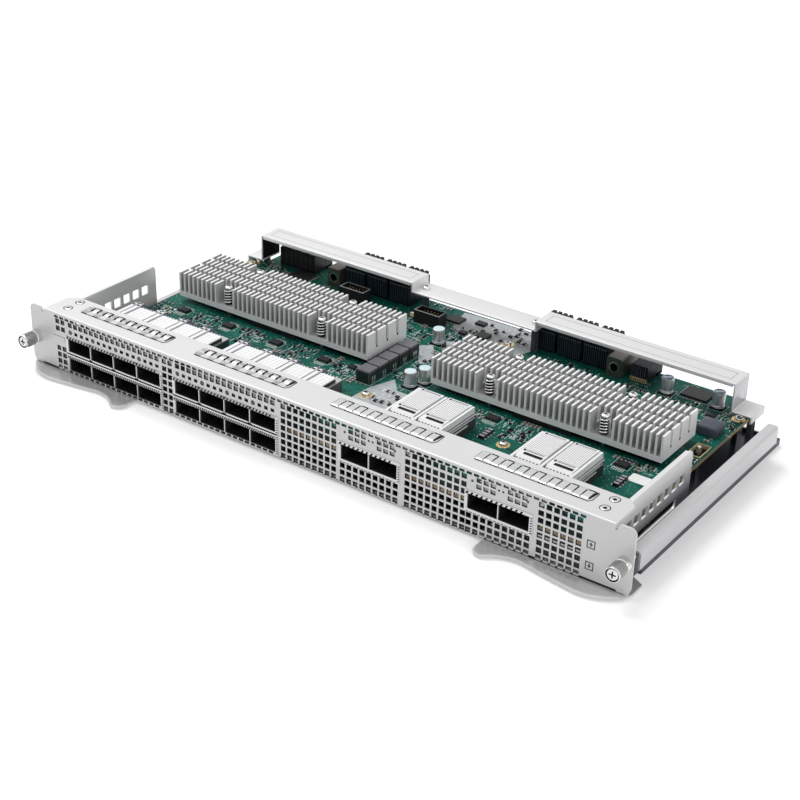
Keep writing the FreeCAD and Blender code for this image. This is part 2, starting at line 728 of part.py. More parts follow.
def make_board():
    """The circuit board, with its rear corner notches, edge slot and screw holes."""
    board = box(-HALF_BOARD, HALF_BOARD, BOARD_FRONT, BOARD_BACK, BOARD_UNDERSIDE, BOARD_TOP)
    low = BOARD_UNDERSIDE - OVERCUT
    high = BOARD_TOP + OVERCUT
    notch = box(
        HALF_BOARD - NOTCH_WIDTH, HALF_BOARD + OVERCUT, BOARD_BACK - NOTCH_DEPTH,
        BOARD_BACK + OVERCUT, low, high,
    )
    right = HALF_BOARD - BOARD_SLOT_MARGIN
    back = BOARD_BACK - BOARD_SLOT_SETBACK
    slot = box(right - BOARD_SLOT_WIDTH, right, back - BOARD_SLOT_LENGTH, back, low, high)
    slot = chamfered(slot, BOARD_SLOT_CORNER, lambda p, d: abs(d.z) > 0.9)
    holes = [screw_hole(x, y, low, high) for x, y in standoff_places()]
    return board.cut(both_sides(notch) + [slot] + holes)


def make_standoffs():
    """Hexagonal posts between the tray's floor and the board."""
    return [
        post(FASTENER_SIDES, STANDOFF_RADIUS, x, y, SHEET, BOARD_UNDERSIDE)
        for x, y in standoff_places()
    ]


def make_board_screws():
    """Screws through the board down to the standoffs."""
    return [screw(x, y, BOARD_TOP, BOARD_THICKNESS) for x, y in standoff_places()]


def beam_screw_places():
    """X of the two screws at the ends of the beam's low span."""
    return BEAM_LOW_LEFT + BEAM_SCREW_INSET, BEAM_LOW_RIGHT - BEAM_SCREW_INSET


def make_rear_beam():
    """A strap that bridges the connectors: two raised spans, a low span, two legs and feet."""
    t = SHEET
    right_foot = BEAM_RIGHT + BEAM_FOOT_REACH
    left_foot = BEAM_LEFT - BEAM_FOOT_REACH
    foot_low = BEAM_FOOT_TOP - BEAM_FOOT_LIP
    upper = [
        (left_foot, foot_low), (left_foot, BEAM_FOOT_TOP), (BEAM_LEFT, BEAM_FOOT_TOP),
        (BEAM_LEFT, BEAM_TOP), (BEAM_LOW_LEFT, BEAM_TOP), (BEAM_LOW_LEFT, BEAM_LOW),
        (BEAM_LOW_RIGHT, BEAM_LOW), (BEAM_LOW_RIGHT, BEAM_TOP), (BEAM_RIGHT, BEAM_TOP),
        (BEAM_RIGHT, BEAM_FOOT_TOP), (right_foot, BEAM_FOOT_TOP), (right_foot, foot_low),
    ]
    lower = [
        (right_foot - t, foot_low), (right_foot - t, BEAM_FOOT_TOP - t),
        (BEAM_RIGHT - t, BEAM_FOOT_TOP - t), (BEAM_RIGHT - t, BEAM_TOP - t),
        (BEAM_LOW_RIGHT + t, BEAM_TOP - t), (BEAM_LOW_RIGHT + t, BEAM_LOW - t),
        (BEAM_LOW_LEFT - t, BEAM_LOW - t), (BEAM_LOW_LEFT - t, BEAM_TOP - t),
        (BEAM_LEFT + t, BEAM_TOP - t), (BEAM_LEFT + t, BEAM_FOOT_TOP - t),
        (left_foot + t, BEAM_FOOT_TOP - t), (left_foot + t, foot_low),
    ]
    strap = outline_xz(upper + lower, BEAM_FRONT, BEAM_BACK)
    lips = []
    for start, end in ((BEAM_LEFT, BEAM_LOW_LEFT), (BEAM_LOW_RIGHT, BEAM_RIGHT)):
        for y in (BEAM_FRONT, BEAM_BACK - t):
            lips.append(
                box(
                    start + BEAM_LIP_INSET, end - BEAM_LIP_INSET, y, y + t,
                    BEAM_TOP - BEAM_LIP, BEAM_TOP,
                )
            )
    beam = strap.fuse(lips).removeSplitter()
    y = (BEAM_FRONT + BEAM_BACK) / 2
    holes = [screw_hole(x, y, BEAM_LOW - 2 * t, BEAM_LOW + t) for x in beam_screw_places()]
    return beam.cut(holes)


def make_beam_posts():
    """Posts that carry the beam: under both feet and under the low span's screws."""
    middle = (BEAM_FRONT + BEAM_BACK) / 2
    foot_y = BEAM_BACK - BEAM_POST_RADIUS - BEAM_POST_GAP
    left_foot_x = NOTCH_WIDTH - HALF_BOARD - BEAM_POST_GAP - BEAM_POST_RADIUS
    posts = []
    for x in (left_foot_x, BEAM_RIGHT + BEAM_FOOT_REACH / 2):
        posts.append(
            post(FASTENER_SIDES, BEAM_POST_RADIUS, x, foot_y, SHEET, BEAM_FOOT_TOP - SHEET)
        )
    for x in beam_screw_places():
        body = post(FASTENER_SIDES, BEAM_POST_RADIUS, x, middle, BOARD_TOP, BEAM_LOW - SHEET)
        posts.append(body.cut(screw_hole(x, middle, BEAM_LOW - SCREW_DEPTH, BEAM_LOW)))
    return posts


def make_beam_screws():
    """Screws on the beam's low span."""
    y = (BEAM_FRONT + BEAM_BACK) / 2
    return [screw(x, y, BEAM_LOW, SCREW_DEPTH) for x in beam_screw_places()]


def sink_screw_offsets():
    """Screw places of a heat sink about its own centre line."""
    half = SINK_SCREW_SPREAD / 2
    rows = (SINK_FRONT + SINK_SCREW_INSET, SINK_FRONT + SINK_DEPTH - SINK_SCREW_INSET)
    return [(x, y) for x in (-half, half) for y in rows]


def sink_screw_places():
    """Screw places of both heat sinks."""
    return [(centre + x, y) for centre in SINK_CENTRES for x, y in sink_screw_offsets()]


def make_heat_sink(centre):
    """A finned heat sink with room in the fins for its four screws."""
    left = centre - SINK_LENGTH / 2
    section = [(left, SINK_BASE_BOTTOM)]
    section.append((left + SINK_LENGTH, SINK_BASE_BOTTOM))
    for i in reversed(range(FIN_COUNT)):
        fin = left + i * FIN_PITCH
        section.append((fin + FIN_THICKNESS, SINK_BASE_TOP))
        section.append((fin + FIN_THICKNESS, SINK_TOP))
        section.append((fin, SINK_TOP))
        section.append((fin, SINK_BASE_TOP))
    section = [section[0], section[1]] + section[3:-1]
    sink = outline_xz(section, SINK_FRONT, SINK_FRONT + SINK_DEPTH)
    cuts = []
    half = SINK_NOTCH_WIDTH / 2
    depth = SINK_NOTCH_DEPTH
    for x, y in sink_screw_offsets():
        if y < SINK_FRONT + SINK_DEPTH / 2:
            near = SINK_FRONT - OVERCUT
            far = SINK_FRONT + depth
        else:
            near = SINK_FRONT + SINK_DEPTH - depth
            far = SINK_FRONT + SINK_DEPTH + OVERCUT
        place = centre + x
        cuts.append(box(place - half, place + half, near, far, SINK_BASE_TOP, SINK_TOP + OVERCUT))
        cuts.append(
            post(
                FASTENER_SIDES, SINK_SCREW_SHANK + SINK_SCREW_GAP, place, y,
                SINK_BASE_BOTTOM - OVERCUT, SINK_TOP,
            )
        )
    return sink.cut(cuts)


def make_sink_screws():
    """Screws that pull the heat sinks down through their springs."""
    screws = []
    for x, y in sink_screw_places():
        seat = SINK_SCREW_TOP - SCREW_HEAD_HEIGHT
        head = post(FASTENER_SIDES, SINK_SCREW_HEAD, x, y, seat, SINK_SCREW_TOP)
        screws.append(head.fuse(post(FASTENER_SIDES, SINK_SCREW_SHANK, x, y, BOARD_TOP, seat)))
    return screws


def make_sink_springs():
    """Compressed springs between screw head and heat sink base, as sleeves of their size."""
    springs = []
    for x, y in sink_screw_places():
        top = SINK_SCREW_TOP - SCREW_HEAD_HEIGHT
        sleeve = post(FASTENER_SIDES, SPRING_OUTER, x, y, SINK_BASE_TOP, top)
        bore = post(FASTENER_SIDES, SPRING_OUTER - SPRING_WIRE, x, y, SINK_BASE_TOP, top)
        springs.append(sleeve.cut(bore))
    return springs


def make_square(centre, side, bottom, height, y):
    """A square package or pad under a heat sink."""
    half = side / 2
    return box(centre - half, centre + half, y - half, y + half, bottom, bottom + height)


def make_plug_blocks(start):
    """A row of tall moulded backplane connectors with ribbed tops."""
    blocks = []
    back = BOARD_BACK + PLUG_REACH
    front = back - PLUG_DEPTH
    pitch = PLUG_WIDTH / PLUG_RIB_COUNT
    for i in range(PLUG_COUNT):
        left = start + i * PLUG_PITCH
        block = box(left, left + PLUG_WIDTH, front, back, BOARD_TOP, PLUG_TOP - PLUG_RIB)
        ribs = [
            box(
                left + k * pitch + pitch / 4, left + k * pitch + 3 * pitch / 4,
                front, back, PLUG_TOP - PLUG_RIB, PLUG_TOP,
            )
            for k in range(PLUG_RIB_COUNT)
        ]
        blocks.append(block.fuse(ribs).removeSplitter())
    return blocks


def make_guide_blocks():
    """Metal blocks whose bores take the backplane's guide pins."""
    half = GUIDE_WIDTH / 2
    top = BOARD_TOP + GUIDE_HEIGHT
    middle = BOARD_TOP + GUIDE_HEIGHT / 2
    back = BOARD_BACK + GUIDE_REACH
    front = back - GUIDE_LENGTH
    blocks = []
    for x in GUIDE_PLACES:
        block = box(x - half, x + half, front, back, BOARD_TOP, top)
        bore = rod(GUIDE_BORE, Vector(x, front, middle), Vector(x, back, middle))
        blocks.append(block.cut(bore))
    return blocks


def make_side_plug(size):
    """A low moulded connector at the board's rear edge, open to the back."""
    left, width, depth, reach, height = size
    back = BOARD_BACK + reach
    wall = SIDE_PLUG_WALL
    plug = box(left, left + width, back - depth, back, BOARD_TOP, BOARD_TOP + height)
    mouth = box(
        left + wall, left + width - wall, back - SIDE_PLUG_MOUTH, back + OVERCUT,
        BOARD_TOP + SIDE_PLUG_FLOOR, BOARD_TOP + height - wall,
    )
    return plug.cut(mouth)


def make_packages(packages):
    """Flat packages standing on the board."""
    return [
        box(x - w / 2, x + w / 2, y - d / 2, y + d / 2, BOARD_TOP, BOARD_TOP + h)
        for x, y, w, d, h in packages
    ]


def from_rear_edge(places):
    """Places given by their distance from the board's rear edge, as X, Y and the rest."""
    return [(place[0], BOARD_BACK - place[1]) + place[2:] for place in places]


def make_inductors():
    """The row of block inductors beside the left heat sink."""
    x, first = INDUCTOR_FIRST
    side = INDUCTOR_SIDE
    return make_packages(
        [(x, first + i * INDUCTOR_PITCH, side, side, INDUCTOR_HEIGHT) for i in range(INDUCTOR_COUNT)]
    )


def make_capacitors():
    """Electrolytic cans on square bases."""
    cans = []
    half = CAN_RADIUS
    for x, y in FRONT_CANS + tuple(from_rear_edge(REAR_CANS)):
        base = box(x - half, x + half, y - half, y + half, BOARD_TOP, BOARD_TOP + CAN_BASE)
        can = post(CAN_SIDES, CAN_RADIUS - CAN_GAP, x, y, BOARD_TOP + CAN_BASE, BOARD_TOP + CAN_HEIGHT)
        cans.append(base.fuse(can))
    return cans


def make_box_headers():
    """Shrouded headers, open at the top."""
    half = HEADER_WIDTH / 2
    side = HEADER_DEPTH / 2
    top = BOARD_TOP + HEADER_HEIGHT
    headers = []
    for x, y in from_rear_edge(HEADER_PLACES):
        shroud = box(x - half, x + half, y - side, y + side, BOARD_TOP, top)
        well = box(
            x - half + HEADER_WALL, x + half - HEADER_WALL,
            y - side + HEADER_WALL, y + side - HEADER_WALL, BOARD_TOP + HEADER_FLOOR, top + OVERCUT,
        )
        headers.append(shroud.cut(well))
    return headers


def make_header_pins():
    """Two rows of square pins in each header."""
    pins = []
    half = HEADER_PIN / 2
    bottom = BOARD_TOP + HEADER_FLOOR
    top = BOARD_TOP + HEADER_HEIGHT - HEADER_PIN_DROP
    for x, y in from_rear_edge(HEADER_PLACES):
        for column in range(HEADER_PIN_COLUMNS):
            px = x + (column - (HEADER_PIN_COLUMNS - 1) / 2) * HEADER_PIN_PITCH
            for row in (-0.5, 0.5):
                py = y + row * HEADER_PIN_PITCH
                pins.append(box(px - half, px + half, py - half, py + half, bottom, top))
    return pins


def lever_outline():
    """The right lever in plan: wavy finger edge in front, nose behind the ear."""
    tip = PIVOT_PLACE - LEVER_REACH
    front = [Vector(tip + x, y, LEVER_BOTTOM) for x, y in LEVER_FRONT_EDGE]
    nose = [Vector(PIVOT_PLACE + x, y, LEVER_BOTTOM) for x, y in LEVER_NOSE_EDGE]
    neck = [Vector(tip + x, y, LEVER_BOTTOM) for x, y in LEVER_REAR_EDGE]
    rear = [front[-1]] + nose + neck + [front[0]]
    arcs = zip(front[0::2], front[1::2], front[2::2])
    edges = [Part.Arc(start, through, end).toShape() for start, through, end in arcs]
    edges += [Part.LineSegment(start, end).toShape() for start, end in zip(rear, rear[1:])]
    return Part.Wire(edges)


def make_lever():
    """The right ejector lever, with the hole for its pivot."""
    plate = Part.Face(lever_outline()).extrude(Vector(0, 0, LEVER_THICKNESS))
    hole = upright(PIVOT_RADIUS + LEVER_GAP / 2, PIVOT_PLACE, PIVOT_DEPTH, 0, LEVER_TOP + OVERCUT)
    return plate.cut(hole)


def make_pivot():
    """The right lever's pin: head below the lever, round journal, rivet through the flange."""
    x, y = PIVOT_PLACE, PIVOT_DEPTH
    seat = PLATE_BOTTOM + SHEET
    head = post(PIVOT_HEAD_SIDES, PIVOT_HEAD, x, y, LEVER_GAP, LEVER_BOTTOM - LEVER_GAP)
    journal = upright(PIVOT_RADIUS, x, y, LEVER_BOTTOM - LEVER_GAP, PLATE_BOTTOM)
    rivet = post(FASTENER_SIDES, PIVOT_RIVET, x, y, PLATE_BOTTOM, seat)
    tail = post(FASTENER_SIDES, PIVOT_RADIUS, x, y, seat, seat + SHEET)
    return head.fuse([journal, rivet, tail])


def make_thumbscrew():
    """The right captive thumbscrew: knurled head, neck and threaded end."""
    x, z = THUMB_PLACE, THUMB_HEIGHT
    head = cross_bar(THUMB_KNURLS, THUMB_HEAD_RADIUS, x, z, THUMB_HEAD_FRONT, THUMB_HEAD_BACK)
    neck_end = -COLLAR_CLEARANCE
    neck = rod(THUMB_NECK, Vector(x, THUMB_HEAD_BACK, z), Vector(x, neck_end, z))
    thread = rod(THUMB_THREAD, Vector(x, neck_end, z), Vector(x, THUMB_THREAD_END, z))
    half = THUMB_SLOT_WIDTH / 2
    bottom = THUMB_HEAD_FRONT + THUMB_SLOT_DEPTH
    arm = THUMB_HEAD_RADIUS * THUMB_SLOT_REACH
    start = THUMB_HEAD_FRONT - OVERCUT
    level = box(x - arm, x + arm, start, bottom, z - half, z + half)
    plumb = box(x - half, x + half, start, bottom, z - arm, z + arm)
    return head.fuse([neck, thread]).cut(level.fuse(plumb))


def make_collar():
    """The pressed ring on the right ear that guides the thumbscrew."""
    front = THUMB_HEAD_BACK + COLLAR_CLEARANCE
    ring = cross_bar(COLLAR_SIDES, COLLAR_RADIUS, THUMB_PLACE, THUMB_HEIGHT, front, 0)
    start = Vector(THUMB_PLACE, front, THUMB_HEIGHT)
    return ring.cut(rod(THUMB_NECK + COLLAR_GAP, start, Vector(THUMB_PLACE, 0, THUMB_HEIGHT)))


def build_cages():
    """Cages, their connectors and what rides on them."""
    lower = BOARD_UNDERSIDE - CAGE_HEIGHT
    places = group_places()
    for number, (centre, count) in enumerate(places[:STACKED_COUNT], 1):
        for row, bottom in (("upper", BOARD_TOP), ("lower", lower)):
            size = (centre, count, bottom, CAGE_HEIGHT, CAGE_DEPTH)
            export("%s_cage_%d" % (row, number), [make_cage(*size)])
            export("%s_port_connectors_%d" % (row, number), make_port_connectors(*size))
        export("light_pipes_%d" % number, make_light_pipes(centre, count))
    for number, (centre, count) in enumerate(places[STACKED_COUNT:], STACKED_COUNT + 1):
        size = (centre, count, BOARD_TOP, SINGLE_CAGE_HEIGHT, SINGLE_CAGE_DEPTH)
        export("cage_%d" % number, [make_cage(*size)])
        export("port_connectors_%d" % number, make_port_connectors(*size))
        export("cage_riders_%d" % number, make_cage_riders(centre, count))
    for number, group in enumerate(all_groups(), 1):
        export("port_gasket_%d" % number, [make_port_gasket(group)])


def build_sheet_metal():
    """Tray, faceplate, brackets, beam and what holds them."""
    bracket = make_bracket()
    export("tray", [make_tray()])
    export("faceplate", [make_faceplate()])
    export("right_bracket", [bracket])
    export("left_bracket", [mirrored(bracket)])
    export("flange_screws", make_flange_screws())
    for number, (place, offset) in enumerate(zip(group_places(), STRIP_OFFSETS), 1):
        export("gasket_strip_%d" % number, [make_gasket_strip(place[0] + offset)])
    export("rear_beam", [make_rear_beam()])
    export("beam_posts", make_beam_posts())
    export("beam_screws", make_beam_screws())


def build_board():
    """The circuit board and everything mounted on it."""
    export("circuit_board", [make_board()])
    export("standoffs", make_standoffs())
    export("board_screws", make_board_screws())
    middle = SINK_FRONT + SINK_DEPTH / 2
    pads = []
    for side, centre in zip(("left", "right"), SINK_CENTRES):
        chip_top = BOARD_TOP + CHIP_HEIGHT
        export("heat_sink_" + side, [make_heat_sink(centre)])
        export("switch_chip_" + side, [make_square(centre, CHIP_SIDE, BOARD_TOP, CHIP_HEIGHT, middle)])
        pads.append(make_square(centre, PAD_SIDE, chip_top, SINK_BASE_BOTTOM - chip_top, middle))
    export("thermal_pads", pads)
    export("heat_sink_screws", make_sink_screws())
    export("heat_sink_springs", make_sink_springs())
    for side, start in zip(("left", "right"), PLUG_STARTS):
        export("backplane_connectors_" + side, make_plug_blocks(start))
    export("guide_blocks", make_guide_blocks())
    export("power_connector", [make_side_plug(POWER_PLUG)])
    export("signal_connector", [make_side_plug(SIGNAL_PLUG)])
    export("box_headers", make_box_headers())
    export("header_pins", make_header_pins())
    export("inductors", make_inductors())
    export("large_inductor", make_packages(from_rear_edge([LARGE_INDUCTOR])))
    export("capacitors", make_capacitors())
    export("board_chips", make_packages(list(FRONT_CHIPS) + from_rear_edge(REAR_CHIPS)))


def build_moving_parts():
    """Ejector levers and captive thumbscrews, with the pieces that carry them."""
    for name, shape in (("lever", make_lever()), ("thumbscrew", make_thumbscrew())):
        export("right_" + name, [shape])
        export("left_" + name, [mirrored(shape)])
    export("lever_pivots", both_sides(make_pivot()))
    export("thumbscrew_collars", both_sides(make_collar()))


os.makedirs("parts", exist_ok=True)
build_sheet_metal()
build_cages()
build_board()
build_moving_parts()
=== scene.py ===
import logging
import math
import random
from dataclasses import dataclass, field
from enum import Enum
from functools import cache

import bmesh
import bpy
from mathutils import Matrix, Vector


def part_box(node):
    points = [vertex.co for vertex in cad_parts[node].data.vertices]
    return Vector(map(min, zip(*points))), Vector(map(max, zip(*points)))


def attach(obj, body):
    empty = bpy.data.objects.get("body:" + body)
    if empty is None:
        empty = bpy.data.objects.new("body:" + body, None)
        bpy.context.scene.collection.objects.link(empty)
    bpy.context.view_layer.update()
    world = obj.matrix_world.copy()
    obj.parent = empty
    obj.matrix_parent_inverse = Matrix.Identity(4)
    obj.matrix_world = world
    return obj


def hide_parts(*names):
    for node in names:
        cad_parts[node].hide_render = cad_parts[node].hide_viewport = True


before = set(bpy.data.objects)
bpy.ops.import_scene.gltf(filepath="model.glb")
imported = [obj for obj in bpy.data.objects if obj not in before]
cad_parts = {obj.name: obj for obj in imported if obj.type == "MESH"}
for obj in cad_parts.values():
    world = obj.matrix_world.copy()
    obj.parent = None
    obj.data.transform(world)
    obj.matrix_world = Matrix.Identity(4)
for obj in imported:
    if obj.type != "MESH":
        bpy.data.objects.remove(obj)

# Looks of the switch line card. Sizes are in millimetres in the part's frame: X left to right
# along the faceplate, Y from its front face to the back, Z up from the tray's underside.
# Shaders and lamps are in metres.

MM = 0.001
CARD = "card"
PORT_PITCH = 19.0
GRILLE_PITCH = 4.45
BOARD_TOP = 16.1
CAGE_TOP = 26.5
TIP = 0.01  # The radius that a turned shape ends in.
STACKED = {1: -140.5, 2: -53.2}
SINGLE = {3: 49.3, 4: 131.8}
SINKS = {"left": -101.5, "right": 97.6}
SINK_SCREWS_X = (-37.8, 37.8)
SMOOTH_BELOW = math.radians(32)
BEVEL_ABOVE = 0.6  # Radians between the faces at an edge.
NEAR = 1e-6
log = logging.getLogger("line_card")

Point = tuple[float, float, float]
Spot = tuple[float, float]
Colour = tuple[float, float, float]
Hole = tuple[float, float, float, float]
Tree = bpy.types.NodeTree


class Axis(Enum):
    """The direction in which a section is drawn out or turned."""

    X = "x"
    Y = "y"
    Z = "z"


class Texture(Enum):
    """The kind of fine surface a finish has."""

    BRUSHED = "brushed"
    MOULDED = "moulded"
    CAST = "cast"


BRUSHED, MOULDED, CAST = Texture

# ---------- shared effects ----------


class Nodes:
    """Adds shader nodes to one node tree."""

    def __init__(self, tree: Tree) -> None:
        """Starts on a tree."""
        self.tree = tree

    def feed(self, value: object, socket: bpy.types.NodeSocket) -> None:
        """Links an input to a socket, or sets it to a number or colour.

        Args:
            value: A socket, or the value itself.
            socket: The input that takes it.
        """
        if isinstance(value, bpy.types.NodeSocket):
            self.tree.links.new(value, socket)
        else:
            socket.default_value = value

    def add(self, kind: str, group: Tree | None = None, **values: object) -> bpy.types.Node:
        """Adds a node and feeds its inputs.

        Args:
            kind: The node's type, without its prefix.
            group: The node group that it stands for, if any.
            values: What its named inputs take.

        Returns:
            The node.
        """
        node = self.tree.nodes.new("ShaderNode" + kind)
        if group is not None:
            node.node_tree = group
        for label, value in values.items():
            self.feed(value, node.inputs[label])
        return node

    def math(self, operation: str, first: object, second: object = 0.0) -> object:
        """Adds a Math node.

        Args:
            operation: The node's operation.
            first: A socket or a number.
            second: A socket or a number.

        Returns:
            The node's value socket.
        """
        node = self.add("Math")
        node.operation = operation
        self.feed(first, node.inputs[0])
        self.feed(second, node.inputs[1])
        return node.outputs[0]

    def swing(self, value: object, amount: object) -> object:
        """A noise value turned into a swing about 0, as large as the amount."""
        return self.math("MULTIPLY", self.math("SUBTRACT", value, 0.5), amount)

    def mixed(self, factor: object, first: object, second: object, blend: str = "MIX") -> object:
        """Mixes two colours.

        Args:
            factor: The mask, a socket or a number.
            first: A colour or a socket, where the mask is 0.
            second: A colour or a socket, where the mask is 1.
            blend: How they are mixed.

        Returns:
            The colour socket.
        """
        node = self.add("Mix")
        node.data_type = "RGBA"
        node.blend_type = blend
        for place, value in ((0, factor), (6, first), (7, second)):
            self.feed((*value, 1.0) if isinstance(value, tuple) else value, node.inputs[place])
        return node.outputs[2]


class Effects:
    """Node groups that several finishes use, each built once."""

    @staticmethod
    def group(name: str, ins: list[tuple[str, object]], outs: list[str]) -> tuple:
        """Starts a node group that takes a place and some values, and gives some values.

        Args:
            name: The group's name.
            ins: Name and default of each input after the place.
            outs: Name of each output.

        Returns:
            The group's nodes, its inputs and its outputs.
        """
        tree = bpy.data.node_groups.new(name, "ShaderNodeTree")
        tree.interface.new_socket(name="Vector", in_out="INPUT", socket_type="NodeSocketVector")
        for label, value in ins:
            kind = "NodeSocketVector" if isinstance(value, tuple) else "NodeSocketFloat"
            tree.interface.new_socket(name=label, in_out="INPUT", socket_type=kind).default_value = value
        for label in outs:
            tree.interface.new_socket(name=label, in_out="OUTPUT", socket_type="NodeSocketFloat")
        return Nodes(tree), tree.nodes.new("NodeGroupInput").outputs, tree.nodes.new("NodeGroupOutput").inputs

    @classmethod
    @cache
    def grain(cls) -> Tree:
        """Fine lines or specks along a stretch, as a shade and a height."""
        ins = [("Stretch", (900, 900, 900)), ("Amount", 0.1)]
        nodes, start, end = cls.group("Fine grain", ins, ["Shade", "Height"])
        scaled = nodes.add("VectorMath")
        scaled.operation = "MULTIPLY"
        nodes.feed(start["Vector"], scaled.inputs[0])
        nodes.feed(start["Stretch"], scaled.inputs[1])
        value = nodes.add("TexNoise", Detail=3.0, Scale=1.0, Vector=scaled.outputs[0]).outputs[0]
        nodes.feed(nodes.math("ADD", nodes.swing(value, start["Amount"]), 1.0), end["Shade"])
        nodes.feed(value, end["Height"])
        return nodes.tree

    @classmethod
    @cache
    def smudge(cls) -> Tree:
        """Slow clouds of handling and dust, as a shade and a change of gloss."""
        nodes, start, end = cls.group("Handling", [("Scale", 40.0), ("Amount", 0.1)], ["Shade", "Gloss"])
        broad = nodes.add("TexNoise", Detail=4.0, Scale=start["Scale"], Vector=start["Vector"])
        swing = nodes.swing(broad.outputs[0], start["Amount"])
        nodes.feed(nodes.math("ADD", swing, 1.0), end["Shade"])
        nodes.feed(swing, end["Gloss"])
        return nodes.tree

    @classmethod
    @cache
    def deep(cls) -> Tree:
        """How far a surface is shaded by what stands round it, by its height over the tray."""
        ins = [("Low", 0.0), ("High", 0.02), ("Darkest", 0.5)]
        nodes, start, end = cls.group("Depth shade", ins, ["Shade"])
        ramp = nodes.add("MapRange", Value=nodes.add("SeparateXYZ", Vector=start["Vector"]).outputs["Z"])
        ramp.inputs["To Max"].default_value = 1.0
        for label, taken in (("Low", "From Min"), ("High", "From Max"), ("Darkest", "To Min")):
            nodes.feed(start[label], ramp.inputs[taken])
        nodes.feed(ramp.outputs[0], end["Shade"])
        return nodes.tree


# ---------- finishes ----------


@dataclass(frozen=True)
class Finish:
    """A finish with its colour, gloss and fine surface."""

    name: str
    slot: str
    colour: Colour
    metallic: float = 0.0
    roughness: float = 0.4
    texture: Texture = MOULDED
    stretch: Point = (1500.0, 1500.0, 1500.0)
    grain: float = 0.12
    cloud: float = 0.12
    cloud_scale: float = 35.0
    bump: float = 0.05
    coat: float = 0.0
    low_shade: float = 1.0
    low_top: float = 0.02
    specular: float = 0.5
    coat_roughness: float = 0.12

    def base(self, nodes: Nodes, place: object) -> object:
        """The colour before handling and grain; finishes with a pattern replace this."""
        return self.colour

    def material(self) -> bpy.types.Material:
        """Builds the material once and returns it."""
        known = bpy.data.materials.get("look_" + self.name)
        if known is not None:
            return known
        material = bpy.data.materials.new("look_" + self.name)
        material.use_nodes = True
        nodes = Nodes(material.node_tree)
        place = nodes.add("TexCoord").outputs["Object"]
        spots = {"Vector": place, "Stretch": self.stretch, "Amount": self.grain}
        grain = nodes.add("Group", Effects.grain(), **spots).outputs
        clouds = {"Vector": place, "Scale": self.cloud_scale, "Amount": self.cloud}
        cloud = nodes.add("Group", Effects.smudge(), **clouds).outputs
        shade = nodes.math("MULTIPLY", grain["Shade"], cloud["Shade"])
        if self.low_shade < 1.0:
            low = {"Vector": place, "High": self.low_top, "Darkest": self.low_shade}
            deep = nodes.add("Group", Effects.deep(), **low).outputs
            shade = nodes.math("MULTIPLY", shade, deep["Shade"])
        depth = 0.0002 if self.texture is CAST else 0.0001
        bump = nodes.add("Bump", Strength=self.bump, Distance=depth, Height=grain["Height"])
        for label, value in (
            ("Base Color", nodes.mixed(1.0, self.base(nodes, place), shade, "MULTIPLY")),
            ("Roughness", nodes.math("ADD", cloud["Gloss"], self.roughness)), ("Metallic", self.metallic),
            ("Coat Weight", self.coat), ("Coat Roughness", self.coat_roughness),
            ("Specular IOR Level", self.specular), ("Normal", bump.outputs[0]),
        ):
            nodes.feed(value, nodes.tree.nodes["Principled BSDF"].inputs[label])
        material.diffuse_color = (*self.colour, 1.0)
        return material


@dataclass(frozen=True)
class FoldedTray(Finish):
    """Steel that is bright outside the side walls, on the rails, below and at the front lip, and takes a painted
    shade of dark navy inside the tray.
    """

    # Painted shade: the colour of the same sheet inside the tray, where shade falls.
    inside: Colour = (0.035, 0.037, 0.055)
    wall: float = 0.2036
    rail: float = 0.0206
    underside: float = 0.0001
    lip: float = 0.004

    def base(self, nodes: Nodes, place: object) -> object:
        """Bright outside, and a painted shade of dark, glossy navy inside the tray."""
        x, y, z = nodes.add("SeparateXYZ", Vector=place).outputs
        bright = nodes.math("GREATER_THAN", nodes.math("ABSOLUTE", x), self.wall)
        for test, value, limit in (
            ("GREATER_THAN", z, self.rail), ("LESS_THAN", z, self.underside), ("LESS_THAN", y, self.lip),
        ):
            bright = nodes.math("MAXIMUM", bright, nodes.math(test, value, limit))
        return nodes.mixed(bright, self.inside, self.colour)


